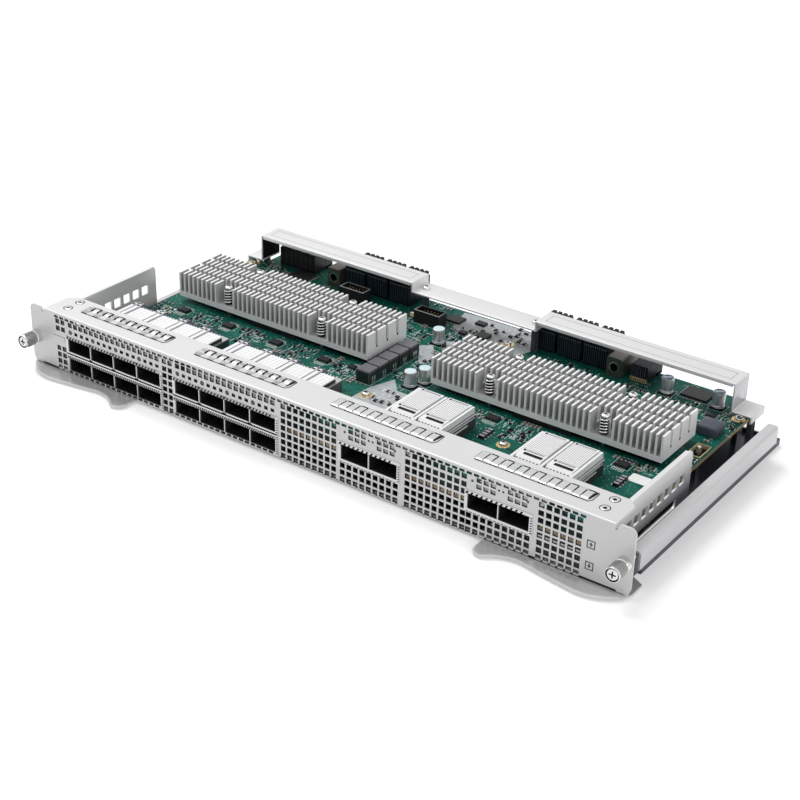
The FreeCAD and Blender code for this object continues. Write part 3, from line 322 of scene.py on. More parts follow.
@dataclass(frozen=True)
class SolderMask(Finish):
    """The green lacquer of the board, with tracks, vias, copper areas and tan cut edges, painted shade near the front
    under the flange and painted light on the front cut edge.
    """

    track: Colour = (0.012, 0.17, 0.12)
    edge: Colour = (0.42, 0.34, 0.2)
    via: Colour = (0.34, 0.36, 0.24)
    # Painted shade under the flange, and painted light that brightens the front cut edge.
    shaded: Colour = (0.001, 0.012, 0.009)
    lit_front_edge: Colour = (0.90, 0.72, 0.50)
    cells: float = 95.0
    pitch: float = 0.0009
    slant_pitch: float = 0.0014
    pour: Spot = (55.0, 0.56)
    vias: Spot = (420.0, 0.16)
    shaded_to: float = 0.027
    front: float = 0.0105

    def stripes(self, nodes: Nodes, value: object, pitch: float, share: float) -> object:
        """Parallel tracks, as a mask, from the distance across them in metres."""
        turns = nodes.math("MULTIPLY", value, 1.0 / pitch)
        return nodes.math("LESS_THAN", nodes.math("FRACT", turns), share)

    def tracks(self, nodes: Nodes, place: object) -> object:
        """Tracks along X, along Y and slanting, by turns from one cell to the next, as a mask."""
        x, y, _ = nodes.add("SeparateXYZ", Vector=place).outputs
        cells = nodes.add("TexVoronoi", Scale=self.cells, Vector=place)
        cells.distance = "CHEBYCHEV"
        pick = nodes.add("SeparateColor", Color=cells.outputs["Color"]).outputs
        slant = self.stripes(nodes, nodes.math("ADD", x, y), self.slant_pitch, 0.35)
        masks = (
            (self.stripes(nodes, x, self.pitch, 0.42), nodes.math("LESS_THAN", pick["Red"], 0.32)),
            (self.stripes(nodes, y, self.pitch, 0.42), nodes.math("GREATER_THAN", pick["Red"], 0.68)),
            (slant, nodes.math("GREATER_THAN", pick["Green"], 0.8)),
        )
        first, second, third = (nodes.math("MULTIPLY", *pair) for pair in masks)
        return nodes.math("MAXIMUM", nodes.math("MAXIMUM", first, second), third)

    def base(self, nodes: Nodes, place: object) -> object:
        """The lacquer's colour with its tracks, vias, copper areas and cut edges, painted shade under the flange and
        painted light on the front edge.
        """
        pour = nodes.add("TexNoise", Detail=1.0, Scale=self.pour[0], Vector=place).outputs[0]
        via = nodes.add("TexVoronoi", Scale=self.vias[0], Vector=place).outputs["Distance"]
        y = nodes.add("SeparateXYZ", Vector=place).outputs["Y"]
        normal = nodes.add("SeparateXYZ", Vector=nodes.add("NewGeometry").outputs["True Normal"])
        upright = nodes.math("ABSOLUTE", normal.outputs["Z"])
        colour = self.colour
        for mask, share, over in (
            (nodes.math("GREATER_THAN", pour, self.pour[1]), 0.35, self.track),
            (self.tracks(nodes, place), 0.6, self.track),
            (nodes.math("LESS_THAN", via, self.vias[1]), 0.75, self.via),
            # Painted shade under the flange, then painted light on the front cut edge.
            (nodes.math("LESS_THAN", y, self.shaded_to), 0.85, self.shaded),
            (nodes.math("LESS_THAN", upright, 0.5), 1.0, self.edge),
            (nodes.math("LESS_THAN", y, self.front), 1.0, self.lit_front_edge),
        ):
            colour = nodes.mixed(nodes.math("MULTIPLY", mask, share), colour, over)
        return colour


FRONT_STEEL = Finish(
    "front_steel_sheet", "front_steel", (0.63, 0.632, 0.635), 0.25, 0.42, BRUSHED,
    (260, 2400, 2400), 0.05, 0.05, 30, 0.03,
)
# Painted shade: the walls of the front sheet's holes, the same steel, drawn near-black.
HOLE_WALL = Finish("hole_wall_shade", "front_steel", (0.05, 0.05, 0.055), 0.1, 0.6, grain=0.2, specular=0.2)
# Painted shade: a darker copy of the gasket foil for the spring band above the stacked ports.
GASKET_SHADE = Finish("gasket_spring_band_shade", "gasket_metal", (0.40, 0.40, 0.41), 0.4, 0.36, grain=0.15, cloud=0.3)
# Painted highlight: pale patches that stand for glare on the board's lacquer.
PALE_GLARE = Finish(
    "board_glare_patch", "board_green", (0.40, 0.43, 0.44), 0.0, 0.5, MOULDED,
    (700, 700, 700), 0.8, 0.5, 260, 0.1,
)
# Painted shade: a darker copy of the sink's aluminium for the fin sides and the base between the fins, darker still
# towards the base.
SINK_SHADE = Finish(
    "sink_gap_side_shade", "sink_aluminium", (0.50, 0.50, 0.505), 0.2, 0.5, CAST,
    (900, 900, 300), 0.1, 0.08, 30, 0.05, low_shade=0.75, low_top=0.03,
)
TRAY_STEEL = FoldedTray(
    "tray_steel_sheet", "tray_steel", (0.56, 0.56, 0.57), 0.45, 0.3, BRUSHED,
    (1800, 300, 1800), 0.06, 0.06, 22, 0.03,
)
BRACKET_STEEL = Finish(
    "bracket_steel", "tray_steel", (0.72, 0.72, 0.725), 0.4, 0.36, BRUSHED,
    (1600, 300, 1600), 0.06, 0.06, 26, 0.03,
)
# Painted shade: the beam posts, steel like the tray, drawn near-black.
POST_METAL = Finish("post_metal_shade", "tray_steel", (0.07, 0.075, 0.08), 0.5, 0.35, BRUSHED, grain=0.2)
BEAM_STEEL = Finish(
    "beam_bright_steel", "bright_steel", (0.70, 0.70, 0.70), 0.25, 0.36, BRUSHED,
    (240, 2200, 2200), 0.04, 0.05, 24, 0.03,
)
# Painted highlight: a brighter copy of the polished lever steel for the strip along the lever's front edge.
LEVER_RIM = Finish("lever_rim", "polished_steel", (0.88, 0.88, 0.88), 0.3, 0.25, grain=0.05)
BEAM_DARK = Finish("beam_shade_line", "bright_steel", (0.30, 0.30, 0.31), 0.3, 0.4, grain=0.15)
MIRROR_STEEL = Finish(
    "polished_steel", "polished_steel", (0.60, 0.602, 0.606), 0.45, 0.32, BRUSHED,
    (200, 900, 900), 0.06, 0.1, 35, 0.02,
)
# Painted shade: a darker copy of the nickel for the knurled heads.
KNURL_METAL = Finish("knurled_nickel_shade", "nickel", (0.34, 0.34, 0.335), 0.9, 0.3, BRUSHED, grain=0.1)
NICKEL = Finish("nickel_plate", "nickel", (0.66, 0.66, 0.65), 1.0, 0.2, BRUSHED, grain=0.08)
CAGE_METAL = Finish(
    "cage_sheet", "cage_metal", (0.50, 0.50, 0.52), 0.7, 0.3, BRUSHED,
    (1500, 260, 1500), 0.08, 0.12, 40, 0.04,
)
# Painted shade: near-black copies of the cage metal for the port insides and the cages' shaded side walls.
CAGE_DARK = Finish("cage_inside", "cage_metal", (0.012, 0.012, 0.015), 0.1, 0.45, grain=0.3)
CAGE_WALL = Finish("cage_side_wall", "cage_metal", (0.07, 0.07, 0.075), 0.5, 0.3, grain=0.3, cloud=0.4)
GASKET_METAL = Finish(
    "gasket_foil", "gasket_metal", (0.60, 0.605, 0.61), 0.7, 0.26, BRUSHED,
    (1200, 1200, 1200), 0.08, 0.16, 90, 0.03,
)
# Painted shade: a darker copy of the gasket foil for the curved fingers.
FINGER_METAL = Finish(
    "finger_foil_shade", "gasket_metal", (0.40, 0.40, 0.41), 0.85, 0.24, BRUSHED,
    (1200, 400, 1200), 0.12, 0.25, 120, 0.05,
)
SINK_METAL = Finish(
    "sink_aluminium", "sink_aluminium", (0.86, 0.86, 0.86), 0.1, 0.42, CAST,
    (900, 900, 300), 0.07, 0.06, 30, 0.05,
)
CAP_METAL = Finish(
    "cap_aluminium", "sink_aluminium", (0.80, 0.80, 0.805), 0.15, 0.45, BRUSHED,
    (1400, 200, 1400), 0.05, 0.04, 40, 0.04,
)
WIRE = Finish("spring_wire", "spring_wire", (0.62, 0.62, 0.63), 1.0, 0.16, grain=0.1)
BLACK_PLASTIC = Finish(
    "black_package", "chip_black", (0.012, 0.012, 0.014), 0.0, 0.42, MOULDED,
    (2600, 2600, 2600), 0.3, 0.25, 120, 0.12, specular=0.25,
)
# Black for slots and recesses, and for painted shade.
SHADOW_BLACK = Finish("slot_and_shadow_black", "chip_black", (0.006, 0.006, 0.008), 0.0, 0.6, grain=0.2, specular=0.1)
PAD_GREY = Finish("thermal_pad", "pad_grey", (0.30, 0.31, 0.33), 0.0, 0.8, grain=0.25, bump=0.2)
NAVY = Finish(
    "plug_navy", "plug_navy", (0.006, 0.009, 0.014), 0.0, 0.45, MOULDED,
    (2200, 2200, 2200), 0.25, 0.2, 90, 0.08, specular=0.15,
)
TEAL = Finish("plug_teal", "plug_navy", (0.045, 0.07, 0.09), 0.0, 0.4, grain=0.25, bump=0.06)
COMB = Finish("plug_comb", "plug_navy", (0.22, 0.26, 0.30), 0.0, 0.4, grain=0.15)
PLUG_BLACK = Finish("plug_black", "plug_black", (0.010, 0.010, 0.011), 0.0, 0.4, grain=0.25, specular=0.25)
GOLD = Finish("gold_contact", "gold", (0.72, 0.52, 0.24), 0.9, 0.3, grain=0.1)
FERRITE = Finish(
    "ferrite_block", "ferrite", (0.12, 0.117, 0.13), 0.2, 0.42, BRUSHED,
    (220, 2600, 2600), 0.35, 0.2, 150, 0.12,
)
FERRITE_SIDE = Finish("ferrite_side", "ferrite", (0.014, 0.024, 0.02), 0.0, 0.4, grain=0.3, specular=0.3)
CHOKE = Finish("large_choke", "ferrite", (0.055, 0.065, 0.09), 0.1, 0.42, grain=0.3, bump=0.12)
CAN_METAL = Finish(
    "can_aluminium", "can_aluminium", (0.60, 0.60, 0.61), 0.85, 0.3, BRUSHED,
    (900, 900, 160), 0.1, 0.1, 60, 0.03,
)
CAN_BLUE = Finish("can_top_blue", "can_aluminium", (0.03, 0.07, 0.19), 0.2, 0.3, grain=0.15)
CAN_PALE = Finish("can_top_pale", "can_aluminium", (0.62, 0.78, 0.83), 0.1, 0.3, grain=0.1)
GUIDE = Finish(
    "guide_zinc", "guide_metal", (0.10, 0.10, 0.08), 0.6, 0.36, CAST,
    (1400, 1400, 1400), 0.2, 0.2, 80, 0.15,
)
CLEAR = Finish(
    "frosted_pipe", "clear_plastic", (0.88, 0.88, 0.89), 0.0, 0.3, MOULDED,
    (900, 200, 900), 0.06, 0.06, 60, 0.04, 0.3,
)
# Painted shade: grey and blue-grey copies of the pipes' plastic, for the raised pairs' sides and the bent rear ends;
# the grey also draws thin lines, and the blue-grey the clear loop.
PIPE_GREY = Finish("pipe_side", "clear_plastic", (0.26, 0.26, 0.28), 0.0, 0.3, grain=0.12, coat=0.3)
PIPE_REAR = Finish("pipe_rear", "clear_plastic", (0.15, 0.17, 0.23), 0.0, 0.2, grain=0.2, coat=0.6)
INK = Finish("board_ink", "clear_plastic", (0.80, 0.82, 0.80), 0.0, 0.6, grain=0.12)
CERAMIC = Finish("tan_ceramic", "chip_black", (0.17, 0.14, 0.11), 0.0, 0.4, grain=0.2)
TIN = Finish("solder_tin", "nickel", (0.72, 0.73, 0.74), 0.7, 0.3, grain=0.15)
LABEL = Finish("bare_label", "clear_plastic", (0.88, 0.88, 0.87), 0.0, 0.6, grain=0.06)
# Etched marks and pin-one dots, and the painted shadow lines at the foot of the ears.
ETCH_AND_SHADOW = Finish("etched_and_shadow_line", "front_steel", (0.07, 0.07, 0.075), 0.3, 0.5, grain=0.15)
TAN = Finish("comb_tan", "plug_black", (0.46, 0.36, 0.2), 0.0, 0.45, grain=0.2)
BOARD_GREEN = SolderMask(
    "board_green_lacquer", "board_green", (0.001, 0.062, 0.050), 0.0, 0.5, MOULDED,
    (3000, 3000, 3000), 0.12, 0.1, 45, 0.03, specular=0.1,
)


# ---------- mesh stock ----------


class Stock:
    """Faces of one piece, collected in millimetres and made into one mesh."""

    # Sides of the block that was added last, as places in the tints.
    LOW_X, HIGH_X, TOP = -6, -5, -1

    def __init__(self) -> None:
        """Starts with nothing in it."""
        self.points: list[Point] = []
        self.faces: list[tuple[int, ...]] = []
        self.tints: list[int] = []

    def add(self, points: list[Point], faces: list[tuple[int, ...]], tint: int = 0) -> None:
        """Adds faces on new points.

        Args:
            points: The new points.
            faces: Faces as places in that list.
            tint: Which of the piece's finishes they take.
        """
        start = len(self.points)
        self.points.extend(points)
        self.faces.extend(tuple(start + corner for corner in face) for face in faces)
        self.tints.extend([tint] * len(faces))

    def block(self, x: Spot, y: Spot, z: Spot, tint: int = 0) -> None:
        """Adds a block.

        Args:
            x: Its two X, in either order.
            y: Its lowest and highest Y.
            z: Its lowest and highest Z.
            tint: Which finish it takes.
        """
        points = [(a, b, c) for a in sorted(x) for b in y for c in z]
        faces = [(0, 1, 3, 2), (4, 6, 7, 5), (0, 4, 5, 1), (2, 3, 7, 6), (0, 2, 6, 4), (1, 5, 7, 3)]
        self.add(points, faces, tint)

    def row(self, x: float, step: float, count: int, width: float, y: Spot, z: Spot, tint: int = 0) -> None:
        """Adds blocks in a row along X.

        Args:
            x: Where the first one starts.
            step: Spacing of their starts.
            count: How many.
            width: Size of each along X.
            y: Their lowest and highest Y.
            z: Their lowest and highest Z.
            tint: Which finish they take.
        """
        for k in range(count):
            self.block((x + k * step, x + k * step + width), y, z, tint)

    def prism(self, outline: list[Spot], axis: Axis, low: float, high: float, tint: int = 0) -> None:
        """Adds a section drawn out along an axis.

        Args:
            outline: The section's corners, in the other two directions in order.
            axis: The direction it is drawn out in.
            low: Where it starts.
            high: Where it ends.
            tint: Which finish it takes.
        """
        points = [spatial(axis, u, v, level) for level in (low, high) for u, v in outline]
        count = len(outline)
        faces = [tuple(range(count)), tuple(reversed(range(count, 2 * count)))]
        for i in range(count):
            j = (i + 1) % count
            faces.append((i, j, count + j, count + i))
        self.add(points, faces, tint)

    def turned(
        self, profile: list[Spot], centre: Point, axis: Axis, sides: int = 24, tint: int = 0,
        hollow: bool = False,
    ) -> None:
        """Adds a turned shape.

        Args:
            profile: Radius and distance along the axis of each ring.
            centre: The point that distances start from.
            axis: The axis it is turned about.
            sides: Sides round it.
            tint: Which finish it takes.
            hollow: Whether it is a ring, whose profile closes on itself.
        """
        if hollow:
            profile = profile + profile[:1]
        points: list[Point] = []
        for radius, along in profile:
            for k in range(sides):
                turn = 2 * math.pi * k / sides
                u, v = radius * math.cos(turn), radius * math.sin(turn)
                p = spatial(axis, u, v, along)
                points.append((p[0] + centre[0], p[1] + centre[1], p[2] + centre[2]))
        self.rings(points, sides, not hollow, tint)

    def rings(self, points: list[Point], sides: int, capped: bool, tint: int) -> None:
        """Adds faces round a run of rings of points.

        Args:
            points: The points, ring by ring.
            sides: Points in a ring.
            capped: Whether the first and last ring are closed by a face.
            tint: Which finish they take.
        """
        faces: list[tuple[int, ...]] = [tuple(range(sides))] if capped else []
        last = len(points) - sides
        for ring in range(0, last, sides):
            for k in range(sides):
                a, b = ring + k, ring + (k + 1) % sides
                faces.append((a, b, b + sides, a + sides))
        if capped:
            faces.append(tuple(reversed(range(last, last + sides))))
        self.add(points, faces, tint)

    def tube(self, path: list[Point], radius: float, sides: int = 6, tint: int = 0) -> None:
        """Adds a round wire along a path.

        Args:
            path: The wire's points.
            radius: Its radius.
            sides: Sides round it.
            tint: Which finish it takes.
        """
        points: list[Point] = []
        nearly_up = Vector((0.0, 0.13, 1.0))
        for i, place in enumerate(path):
            here = Vector(place)
            ahead = Vector(path[min(i + 1, len(path) - 1)]) - Vector(path[max(i - 1, 0)])
            ahead.normalize()
            side = ahead.cross(nearly_up).normalized()
            up = side.cross(ahead)
            for k in range(sides):
                turn = 2 * math.pi * k / sides
                points.append(tuple(here + radius * (math.cos(turn) * side + math.sin(turn) * up)))
        self.rings(points, sides, True, tint)

    def perforated(
        self, u: Spot, v: Spot, level: Spot, holes: list[Hole], axis: Axis = Axis.Y, wall: int = 0,
    ) -> None:
        """Adds a flat sheet with rectangular holes.

        Args:
            u: The sheet's extent in its first direction.
            v: Its extent in its second direction.
            level: Its two faces along the axis.
            holes: Lowest and highest u, then v, of each hole.
            axis: The direction through the sheet.
            wall: Which finish the holes' walls take.
        """
        levels = sorted({v[0], v[1]} | {e for h in holes for e in h[2:] if v[0] < e < v[1]})
        for low, high in zip(levels, levels[1:]):
            shut = sorted((h[0], h[1]) for h in holes if h[2] <= low + NEAR and h[3] >= high - NEAR)
            start = u[0]
            for a, b in shut + [(u[1], u[1])]:
                if a > start + NEAR:
                    for depth in level:
                        corners = [(start, low), (a, low), (a, high), (start, high)]
                        self.add([spatial(axis, p, q, depth) for p, q in corners], [(0, 1, 2, 3)])
                start = max(start, b)
        for place, (a, b, c, d) in enumerate(holes + [(u[0], u[1], v[0], v[1])]):
            ring = [(a, c), (b, c), (b, d), (a, d)]
            points = [spatial(axis, p, q, depth) for depth in level for p, q in ring]
            faces = [(i, (i + 1) % 4, 4 + (i + 1) % 4, 4 + i) for i in range(4)]
            self.add(points, faces, wall if place < len(holes) else 0)

    def mirror(self) -> "Stock":
        """The same faces on the other side of the card."""
        other = Stock()
        other.points = [(-x, y, z) for x, y, z in self.points]
        other.faces = [tuple(reversed(face)) for face in self.faces]
        other.tints = list(self.tints)
        return other

    def extend(self, other: "Stock") -> None:
        """Adds another stock's faces."""
        self.add(other.points, other.faces)
        self.tints[-len(other.tints):] = other.tints

    def make(
        self, name: str, finishes: list[Finish], nodes: tuple[str, ...] = (), body: str = CARD,
        edge: float = 0.0, segments: int = 1, closed: bool = True,
    ) -> bpy.types.Object:
        """Makes the piece.

        Args:
            name: The piece's name.
            finishes: Its finishes, in the order of the tints.
            nodes: The CAD nodes that it stands for.
            body: The body it moves with.
            edge: Size of the bevel on its sharp edges.
            segments: Facets of that bevel.
            closed: Whether its faces close a body, so that they are turned outwards.

        Returns:
            The piece.
        """
        mesh = bpy.data.meshes.new(name)
        points = [(x * MM, y * MM, z * MM) for x, y, z in self.points]
        mesh.from_pydata(points, [], self.faces)
        mesh.polygons.foreach_set("material_index", self.tints)
        for finish in finishes:
            mesh.materials.append(finish.material())
        if edge > 0 or closed:
            shell = bmesh.new()
            shell.from_mesh(mesh)
            if closed:
                bmesh.ops.recalc_face_normals(shell, faces=shell.faces)
            if edge > 0:
                sharp = [e for e in shell.edges if len(e.link_faces) == 2 and e.calc_face_angle(0) > BEVEL_ABOVE]
                bmesh.ops.bevel(
                    shell, geom=sharp, offset=edge * MM, segments=segments, profile=0.5,
                    affect="EDGES", clamp_overlap=True,
                )
            shell.to_mesh(mesh)
            shell.free()
        mesh.shade_smooth()
        mesh.set_sharp_from_angle(angle=SMOOTH_BELOW)
        piece = bpy.data.objects.new(name, mesh)
        bpy.context.scene.collection.objects.link(piece)
        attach(piece, body)
        if nodes:
            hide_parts(*nodes)
        log.info("%s: %d faces", name, len(mesh.polygons))
        return piece


def spatial(axis: Axis, u: float, v: float, along: float) -> Point:
    """A point from two places in a section and one along its axis.

    Args:
        axis: The section's axis.
        u: The first place in the section.
        v: The second place in the section.
        along: The place along the axis.

    Returns:
        The point.
    """
    if axis is Axis.X:
        return (along, u, v)
    if axis is Axis.Y:
        return (u, along, v)
    return (u, v, along)


def hoop(outer: float, inner: float, low: float, high: float) -> list[Spot]:
    """The profile of a ring, by its radii and its ends."""
    return [(outer, low), (outer, high), (inner, high), (inner, low)]


def about(middle: float, half: float) -> Spot:
    """A span by its middle and half its length."""
    return (middle - half, middle + half)


def node_box(name: str) -> tuple[Point, Point]:
    """Lowest and highest corner of a CAD node in millimetres."""
    low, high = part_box(name)
    return tuple(c / MM for c in low), tuple(c / MM for c in high)


def dress(finish: Finish, *names: str) -> None:
    """Gives carried-over CAD nodes a finish.

    Args:
        finish: The finish.
        names: The nodes.
    """
    for name in names:
        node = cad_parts[name]
        if len(node.data.materials) == 0:
            node.data.materials.append(finish.material())
        for slot in node.material_slots:
            slot.material = finish.material()
        log.info("%s: dressed in %s", name, finish.name)


# ---------- sheet metal ----------


@dataclass
class Faceplate:
    """The folded front sheet with its grille, port windows, ears, flange and marks."""

    half_body: float = 198.3
    half_card: float = 210
    bottom: float = 2.1
    top: float = 40.3
    sheet: float = 1.2
    fold: float = 1.4
    flange_depth: float = 24.7
    hole: Spot = (3.3, 3.15)
    pitch: float = GRILLE_PITCH
    rows: tuple[float, ...] = (4, 8.4, 12.8, 17.2, 21.6, 26, 30.4, 35.2)
    top_row: tuple[int, float, float, float] = (83, -187.6, 4.49, 37.95)

    def square(self, x: float, z: float, size: Spot) -> Hole:
        """A rectangular hole about its middle.

        Args:
            x: Its middle along the front.
            z: Its middle in height.
            size: Its width and height.

        Returns:
            Its edges.
        """
        return (*about(x, size[0] / 2), *about(z, size[1] / 2))

    def holes(self) -> list[Hole]:
        """Every opening in the front sheet."""
        cuts = []
        blocks = [(156.9, 6, self.rows), (74.7, 9, self.rows), (-10.1, 9, self.rows)]
        blocks += [(-99.1, 2, self.rows), (-186.8, 2, self.rows[:4] + self.rows[6:])]
        for centre in SINGLE.values():
            blocks.append((centre - 4 * self.pitch, 9, self.rows[:3]))
            for side in (-12.3, 6.7):
                for column in range(3):
                    for z in (31.6, 35.4):
                        cuts.append(self.square(centre + side + column * 4.3, z, (3.2, 2.6)))
            cuts.append((centre - 19.7, centre + 19.7, 15.8, 26.8))
            for offset in (0.4, 3):
                cuts.append(self.square(centre + offset - 0.6, 34.2, (1.2, 1.2)))
        for centre in STACKED.values():
            blocks.append((centre - 8 * self.pitch, 17, self.rows[-1:]))
            cuts.append((centre - 38.7, centre + 38.7, 3.3, 26.5))
            for port in range(4):
                middle = centre + (port - 1.5) * PORT_PITCH
                cuts += [self.square(middle + d, 30.4, (2.6, 2.2)) for d in (-7.1, -2.4, 2.4, 7.1)]
        for first, count, rows in blocks:
            for column in range(count):
                cuts += [self.square(first + column * self.pitch, z, self.hole) for z in rows]
        count, first, pitch, z = self.top_row
        cuts += [self.square(first + column * pitch, z, (3.2, 1.6)) for column in range(count)]
        return cuts

    def ear(self, stock: Stock) -> None:
        """Adds the right ear, with its rounded top corner and tapered foot.

        Args:
            stock: Where it is added.
        """
        outline = [(self.half_body, self.bottom), (208.5, self.bottom), (self.half_card, 6.1)]
        for x, z, radius, first in ((206.5, 37.4, 3.5, 0), (202.2, 38.6, 2.3, 90)):
            for step in range(7):
                turn = math.radians(first + 90 * step / 6)
                outline.append((x + radius * math.cos(turn), z + radius * math.sin(turn)))
        outline += [(199.9, 37.3), (self.half_body, 37.3)]
        stock.prism(outline, Axis.Y, 0, self.sheet)

    def build(self) -> None:
        """Makes the front sheet, its etched marks and its painted shadow lines."""
        stock = Stock()
        shoulder = self.top - self.fold
        width = (-self.half_body, self.half_body)
        # The holes' walls take the painted shade of HOLE_WALL.
        stock.perforated(width, (self.bottom, shoulder), (0, self.sheet), self.holes(), wall=1)
        section = []
        for step in range(9):
            turn = math.radians(90 * step / 8)
            section.append((self.fold * (1 - math.cos(turn)), shoulder + self.fold * math.sin(turn)))
        inner = [(self.fold, self.top - self.sheet), (self.sheet, shoulder)]
        stock.prism(section + inner, Axis.X, *width)
        half, back, corner = self.half_body, self.flange_depth, 5
        flange = [
            (-half, self.fold), (half, self.fold), (half, back - corner), (half - corner, back),
            (corner - half, back), (-half, back - corner),
        ]
        stock.prism(flange, Axis.Z, self.top - self.sheet, self.top)
        side = Stock()
        self.ear(side)
        side.block((121, 202), (0, 15), (self.bottom, self.bottom + self.sheet))
        stock.extend(side)
        stock.extend(side.mirror())
        stock.make("front_sheet", [FRONT_STEEL, HOLE_WALL], ("faceplate",))
        self.marks()

    def marks(self) -> None:
        """Makes the etched marks: two small arrow signs, a line with a hook and round marks, with dark notches along
        the bottom edge and painted shadow lines at the foot of the ears.
        """
        stock = Stock()
        front = (-0.04, 0.01)
        for z, tip in ((23.4, 1), (10.8, -1)):
            x = 186.2
            for low, high in ((-2.4, -1.8), (1.8, 2.4)):
                stock.block((x + low, x + high), front, about(z, 2.4))
                stock.block(about(x, 2.4), front, (z + low, z + high))
            arrow = [(x - 1.2, z - 0.2 * tip), (x + 1.2, z - 0.2 * tip), (x, z + 1.3 * tip)]
            stock.prism(arrow, Axis.Y, *front)
            stem = (min(z - 1.3 * tip, z - 0.2 * tip), max(z - 1.3 * tip, z - 0.2 * tip))
            stock.block(about(x, 0.4), front, stem)
        stock.block((-191.5, -181.2), front, (25, 25.3))
        stock.block((-181.5, -181.2), front, (22.6, 25.3))
        for centre in SINGLE.values():
            for side in (-16.4, 17):
                stock.turned([(TIP, -0.03), (0.8, -0.03), (0.8, 0.01)], (centre + side, 0, 34), Axis.Y, 14)
        for centre in STACKED.values():
            for port in range(4):
                middle = centre + (port - 1.5) * PORT_PITCH
                stock.turned([(TIP, -0.04), (1.5, -0.04), (1.5, 0.01)], (middle - 7.1, 0, 30.4), Axis.Y, 18)
        stock.row(-119.5, self.pitch, 54, 1.5, (-0.03, 0.3), (2.08, 2.6))
        # Painted shadow: dark lines at the foot of each ear, where the gap over the lever lies in shade.
        for side in (-1, 1):
            stock.block((side * 183, side * 206.5), (-0.02, 0.6), (2.12, 2.45))
        stock.make("front_marks", [ETCH_AND_SHADOW])


@dataclass
class FlushScrews:
    """Round flush screws in the top flange, over the side brackets."""

    places: tuple[Spot, ...] = ((187, 9.8), (187, 19.8))
    top: float = 40.3

    def build(self) -> None:
        """Makes the four screws."""
        stock = Stock()
        for x, y in self.places:
            for side in (-1, 1):
                centre = (side * x, y, self.top)
                stock.turned(hoop(3, 2.5, -1.1, 0.03), centre, Axis.Z, 30, 1, hollow=True)
                rings = [(2.45, -1.2), (2.45, 0.08), (2.1, 0.22), (1.35, 0.22), (1.2, 0.05), (TIP, -0.2)]
                stock.turned(rings, centre, Axis.Z, 30)
                stock.turned([(1.15, -0.3), (1.15, 0.09), (TIP, 0.09)], centre, Axis.Z, 6, 1)
        stock.make("flange_screw_heads", [NICKEL, SHADOW_BLACK], ("flange_screws",))


@dataclass
class GasketStrip:
    """A foil strip cut into spring fingers that point to the front and the back by turns."""

    number: int
    fingers: int = 14
    slit: float = 0.85

    def frame_lines(self, stock: Stock, x: Spot, y: Spot, z: float) -> None:
        """Adds the strip's foil, its angled ends and the dark line round it.

        Args:
            stock: Where they are added.
            x: The strip's ends.
            y: Its front and back.
            z: Its underside.
        """
        left, right = x
        front, back = y
        for inset, top, tint in ((0.0, 0.16, 1), (0.32, 0.24, 0)):
            outline = [
                (left + 1.6, front + inset), (right - 1.6, front + inset), (right - inset, front + 2.4),
                (right - inset, back - 1), (right - 0.8, back - inset), (left + 0.8, back - inset),
                (left + inset, back - 1), (left + inset, front + 2.4),
            ]
            stock.prism(outline, Axis.Z, z, z + top, tint)

    def build(self) -> None:
        """Makes the strip in the room of its CAD node."""
        node = "gasket_strip_%d" % self.number
        (left, front, base), (right, back, crest) = node_box(node)
        stock = Stock()
        self.frame_lines(stock, (left, right), (front, back), base)
        curved = self.number < 3
        rise = crest - 0.02 - base - 0.3 if curved else 0.42
        pitch = (right - left - 2.6) / self.fingers
        for i in range(self.fingers):
            x0 = left + 0.9 + i * pitch
            x1 = x0 + pitch - self.slit
            forward = i % 2 == 0
            y0, y1 = (front + 0.85, back - 1.5) if forward else (front + 1.7, back - 1)
            arc = []
            for step in range(17):
                share = step / 16
                swell = math.sin(math.pi * share) ** (0.5 if curved else 0.3)
                if curved:
                    swell *= 0.55 + 0.45 * math.cos(math.pi * (1.15 - share))
                arc.append((y0 + share * (y1 - y0), base + 0.26 + rise * swell))
            under = [(y, z - 0.14) for y, z in reversed(arc)]
            # Curved fingers that point forward take the painted shade of FINGER_METAL.
            stock.prism(arc + under, Axis.X, x0, x1, 2 if curved and forward else 0)
            # Painted shadow: a dark line under the finger's front or back end.
            line = (front + 0.1, front + 0.8) if forward else (back - 1, back - 0.1)
            stock.block((x0 - 0.2, x1 + 0.2), line, (base + 0.24, base + 0.3), 1)
            if 0 < i:
                mark = (back - 5.6, back - 1.6)
                stock.block((x1 + 0.02 - pitch, x0 - 0.02), mark, (base + 0.2, base + 0.3 + rise * 0.8), 1)
        end = right - 2.3
        wedge = [(end - 0.3, front + 1.6), (end + 0.7, front + 2.4), (end + 1.9, back - 0.6), (end + 0.1, back - 0.5)]
        stock.prism(wedge, Axis.Z, base + 0.2, base + 0.32, 1)
        finishes = [GASKET_METAL, SHADOW_BLACK, FINGER_METAL]
        stock.make("finger_strip_%d" % self.number, finishes, (node,))


@dataclass
class SidePlates:
    """Tray, brackets and small metal pieces that keep their CAD shape."""

    def build(self) -> None:
        """Dresses the sheet metal that keeps its CAD shape."""
        dress(TRAY_STEEL, "tray")
        dress(BRACKET_STEEL, "left_bracket", "right_bracket")
        dress(POST_METAL, "beam_posts")
        dress(NICKEL, "standoffs", "lever_pivots")
        dress(PAD_GREY, "thermal_pads")


